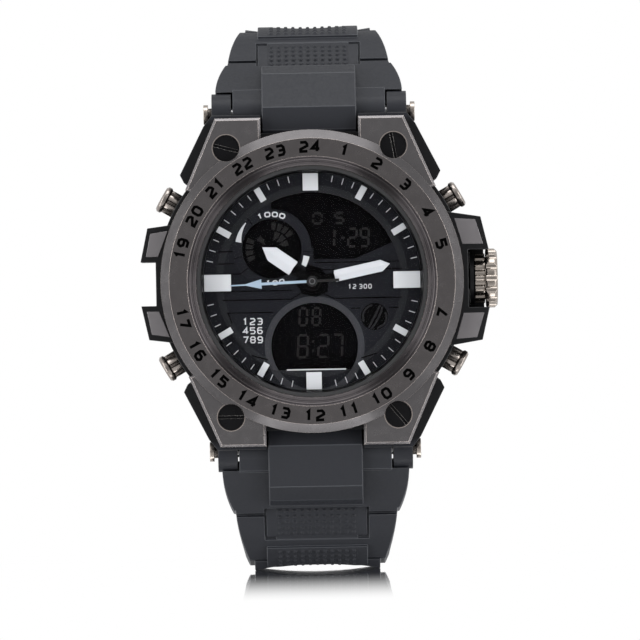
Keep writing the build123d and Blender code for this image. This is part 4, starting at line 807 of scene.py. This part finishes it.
# Strap halves and keepers: moulded dark grey resin with a soft matt skin. Stepped
# wings, a faceted centre block and a plain band behind, with two loops for the tail.
strap_mat, tree, shader = new_material(
    "strap_resin", (0.016, 0.0172, 0.021), roughness=0.5, specular=0.2)
grain(tree, shader, scale=2200.0, strength=0.12, relief=0.01 * mm, roughness=(0.46, 0.6))
# The strap's rounded edges take a lighter grey: a painted highlight along them.
strap_highlight_mat, tree, shader = new_material(
    "strap_edge", (0.034, 0.0365, 0.042), roughness=0.45, specular=0.3)
grain(tree, shader, scale=1500.0, strength=0.1, relief=0.01 * mm)
for name in ("strap_upper", "strap_lower"):
    half = finish_node(name, strap_mat, width=0.1 * mm, angle=20.0, edge_material=strap_highlight_mat)
    half.modifiers["edges"].use_clamp_overlap = False
finish_node("keeper_fixed", strap_mat, width=0.12 * mm)
finish_node("keeper_loose", strap_mat, width=0.12 * mm)


# Strap texture: fields of small raised studs on the two beds of each strap head.
# Moulded with the strap, in the same resin.
def stud_wave(share):
    """A soft square wave, one hump to each whole step of the share."""
    hump = np.clip(0.25 - 1.1 * np.cos(2 * pi * share), 0, 1)
    return hump**2 * (3 - 2 * hump)


def studded_bed(name, body, wing_y, wing_z, side, turns, radius, rows, arch=None):
    """Closed patch bent round a wing's centre, with studs in rows and columns.

    The grid runs across the strap and through the turns, in degrees, round the centre.
    A stud's height is the product of two soft square waves, along and across. Where
    an arch is given, the patch stays under it: its height there plus the square of
    the distance from the middle over twice the arch's radius, up to the crest.
    """
    half, columns, height, sink, proud = 6.35, 11, 0.26, 0.12, 0.01
    arch_r, crest = 50.0, 0.34
    fine = 12
    across = np.linspace(-half, half, fine * columns + 1)
    turns = np.radians(np.linspace(*turns, fine * rows + 1))
    share_across = (across + half) / (2 * half) * columns
    share_along = np.linspace(0, rows, len(turns))
    lift = height * np.outer(stud_wave(share_along), stud_wave(share_across))
    layers = []
    for reach in (radius + proud + lift, np.full(lift.shape, radius - sink)):
        y = wing_y - reach * np.cos(turns)[:, None]
        z = wing_z + side * reach * np.sin(turns)[:, None]
        x = np.broadcast_to(across, z.shape)
        if arch is not None:
            limit = arch + x**2 / (2 * arch_r) + (reach - radius)
            z = side * np.minimum(side * z, np.minimum(limit, arch + crest))
        layers.append(np.stack((x, y, z), axis=-1).reshape(-1, 3))
    index = np.arange(lift.size).reshape(lift.shape)
    quads = np.stack((index[:-1, :-1], index[:-1, 1:], index[1:, 1:], index[1:, :-1]), -1)
    quads = quads.reshape(-1, 4)
    under = quads[:, ::-1] + lift.size
    rim = np.concatenate((index[0, :], index[1:, -1], index[-1, -2::-1], index[-2:0:-1, 0]))
    ahead = np.roll(rim, -1)
    walls = np.column_stack((ahead, rim, rim + lift.size, ahead + lift.size))
    faces = np.concatenate((quads, under, walls))
    if side > 0:
        faces = faces[:, ::-1]
    points = np.concatenate(layers) * mm
    obj = mesh_piece(name, points, faces.tolist(), strap_mat, body, in_row_frame=True)
    shade_smooth(obj.data)


# Each half's body, the centre of its wings in y and z, and the side it lies on.
upper = ("strap_upper", 11.15, 26.84, 1)
lower = ("strap_lower", 9.91, -32.85, -1)
first_r, first_rows, second_r, second_rows = 13.38, 5, 13.95, 4
studded_bed("studs_upper_first", *upper, turns=(31.3, 51.5), radius=first_r, rows=first_rows)
studded_bed("studs_upper_second", *upper, turns=(61.0, 79.0), radius=second_r, rows=second_rows,
            arch=40.19)
studded_bed("studs_lower_first", *lower, turns=(11.3, 31.5), radius=first_r, rows=first_rows)
studded_bed("studs_lower_second", *lower, turns=(41.0, 59.0), radius=second_r, rows=second_rows,
            arch=44.4)

# Buckle frame and tongue: stamped steel, painted satin black.
# Edges rounded in the tumbling barrel.
buckle_mat, tree, shader = new_material(
    "buckle_paint", (0.03, 0.03, 0.032), roughness=0.35, metallic=0.7)
grain(tree, shader, scale=1200.0, strength=0.1, relief=0.01 * mm, roughness=(0.3, 0.42))
finish_node("buckle_frame", buckle_mat, width=0.2 * mm)
finish_node("buckle_tongue", buckle_mat, width=0.15 * mm)

# Floor: a white glossy table that just clears the lower strap. It mirrors the strap
# near the watch and fades to plain white towards the camera and behind.
floor_half, floor_front, floor_back = 1.2, -0.115, 1.5
floor_gap = 0.05 * mm
fade_from, fade_to = -110.0 * mm, -10.0 * mm
end_from, end_to = 50.0 * mm, 80.0 * mm
floor_z = size_loaded[0][2] - floor_gap
floor_mesh = bpy.data.meshes.new("floor")
floor_mesh.from_pydata(
    [(-floor_half, floor_front, floor_z), (floor_half, floor_front, floor_z),
     (floor_half, floor_back, floor_z), (-floor_half, floor_back, floor_z)],
    [],
    [(0, 1, 2, 3)],
)
floor = bpy.data.objects.new("floor", floor_mesh)
bpy.context.scene.collection.objects.link(floor)
floor_mat = bpy.data.materials.new("floor_white")
floor_mat.use_nodes = True
tree = floor_mat.node_tree
tree.nodes.clear()
mirror = tree.nodes.new("ShaderNodeBsdfGlossy")
mirror.inputs["Color"].default_value = (1.0, 1.0, 1.0, 1.0)
mirror.inputs["Roughness"].default_value = 0.03
plain = tree.nodes.new("ShaderNodeEmission")
plain.inputs["Strength"].default_value = 1.0
place = object_axis(tree, "Y")
rises = map_range(tree, place, fade_from, fade_to, soft=True)
falls = map_range(tree, place, end_from, end_to, low=1.0, high=0.0)
blend = tree.nodes.new("ShaderNodeMixShader")
finished = tree.nodes.new("ShaderNodeOutputMaterial")
feed(tree, blend.inputs[0], math_node(tree, "MULTIPLY", rises, falls))
feed(tree, blend.inputs[1], plain.outputs[0])
feed(tree, blend.inputs[2], mirror.outputs[0])
feed(tree, finished.inputs["Surface"], blend.outputs[0])
floor_mesh.materials.append(floor_mat)
floor.visible_diffuse = False
floor.visible_shadow = False

# World: white all round for the camera, for mirrors and through glass, and a plain
# level for the object's own colours. Mirrors see it darker behind the camera.
camera_side, sides = -1.0, -0.72
camera_side_level = 0.45
world = bpy.data.worlds.new("studio")
bpy.context.scene.world = world
world.use_nodes = True
tree = world.node_tree
tree.nodes.clear()
seen = tree.nodes.new("ShaderNodeLightPath")
shown = math_node(tree, "ADD", seen.outputs["Is Camera Ray"], seen.outputs["Is Glossy Ray"])
shown = math_node(tree, "ADD", shown, seen.outputs["Is Transmission Ray"])
shown = math_node(tree, "MINIMUM", shown, 1.0)
dim = tree.nodes.new("ShaderNodeBackground")
dim.inputs["Color"].default_value = (0.52, 0.52, 0.54, 1.0)
dim.inputs["Strength"].default_value = 1.0
white = tree.nodes.new("ShaderNodeBackground")
white.inputs["Color"].default_value = (1.0, 1.0, 1.0, 1.0)
direction = tree.nodes.new("ShaderNodeTexCoord")
direction_parts = tree.nodes.new("ShaderNodeSeparateXYZ")
feed(tree, direction_parts.inputs[0], direction.outputs["Generated"])
mirrored = map_range(tree, direction_parts.outputs["Y"], camera_side, sides,
                     camera_side_level, 1.0, soft=True)
level = math_node(tree, "MAXIMUM", seen.outputs["Is Camera Ray"], mirrored)
feed(tree, white.inputs["Strength"], level)
choose = tree.nodes.new("ShaderNodeMixShader")
out = tree.nodes.new("ShaderNodeOutputWorld")
feed(tree, choose.inputs[0], shown)
feed(tree, choose.inputs[1], dim.outputs[0])
feed(tree, choose.inputs[2], white.outputs[0])
feed(tree, out.inputs["Surface"], choose.outputs[0])


# Lights: two tall soft boxes at the sides, with weaker ones above and below.
# Their places and sizes are in metres, their turns in degrees, their powers in watts.
def soft_light(name, place, turn, size, power):
    """A rectangular area light at a place in metres, turned by degrees."""
    data = bpy.data.lights.new(name, "AREA")
    data.shape = "RECTANGLE"
    data.size, data.size_y = size
    data.energy = power
    light = bpy.data.objects.new(name, data)
    light.location = place
    light.rotation_euler = [radians(angle) for angle in turn]
    bpy.context.scene.collection.objects.link(light)


soft_light("left_box", place=(-0.45, -0.25, 0.05), turn=(90, 0, -61), size=(0.35, 0.6), power=3.2)
soft_light("right_box", place=(0.45, -0.25, 0.05), turn=(90, 0, 61), size=(0.35, 0.6), power=3.2)
soft_light("top_box", place=(0.0, -0.14, 0.5), turn=(16, 0, 0), size=(0.5, 0.3), power=1.7)
soft_light("under_box", place=(0.0, -0.2, -0.5), turn=(160, 0, 0), size=(0.5, 0.25), power=0.6)

# Camera: a long lens about a metre away, square on to the dial, as in the photograph.
# The lens is chosen so that the picture spans a known width at one metre.
sensor_width = 36.0
picture_width, picture_distance = 99.2, 1000.0
camera_x, camera_y, camera_z = 1.1 * mm, -1015.5 * mm, -6.05 * mm
camera_roll = 1.1
camera_data = bpy.data.cameras.new("camera")
camera = bpy.data.objects.new("camera", camera_data)
bpy.context.scene.collection.objects.link(camera)
bpy.context.scene.camera = camera
camera_data.sensor_width = sensor_width
camera_data.lens = sensor_width * picture_distance / picture_width
camera_data.clip_end = 10.0
camera.location = (camera_x, camera_y, camera_z)
camera.rotation_euler = (radians(90), radians(camera_roll), 0)
bpy.context.scene.view_settings.view_transform = "Standard"
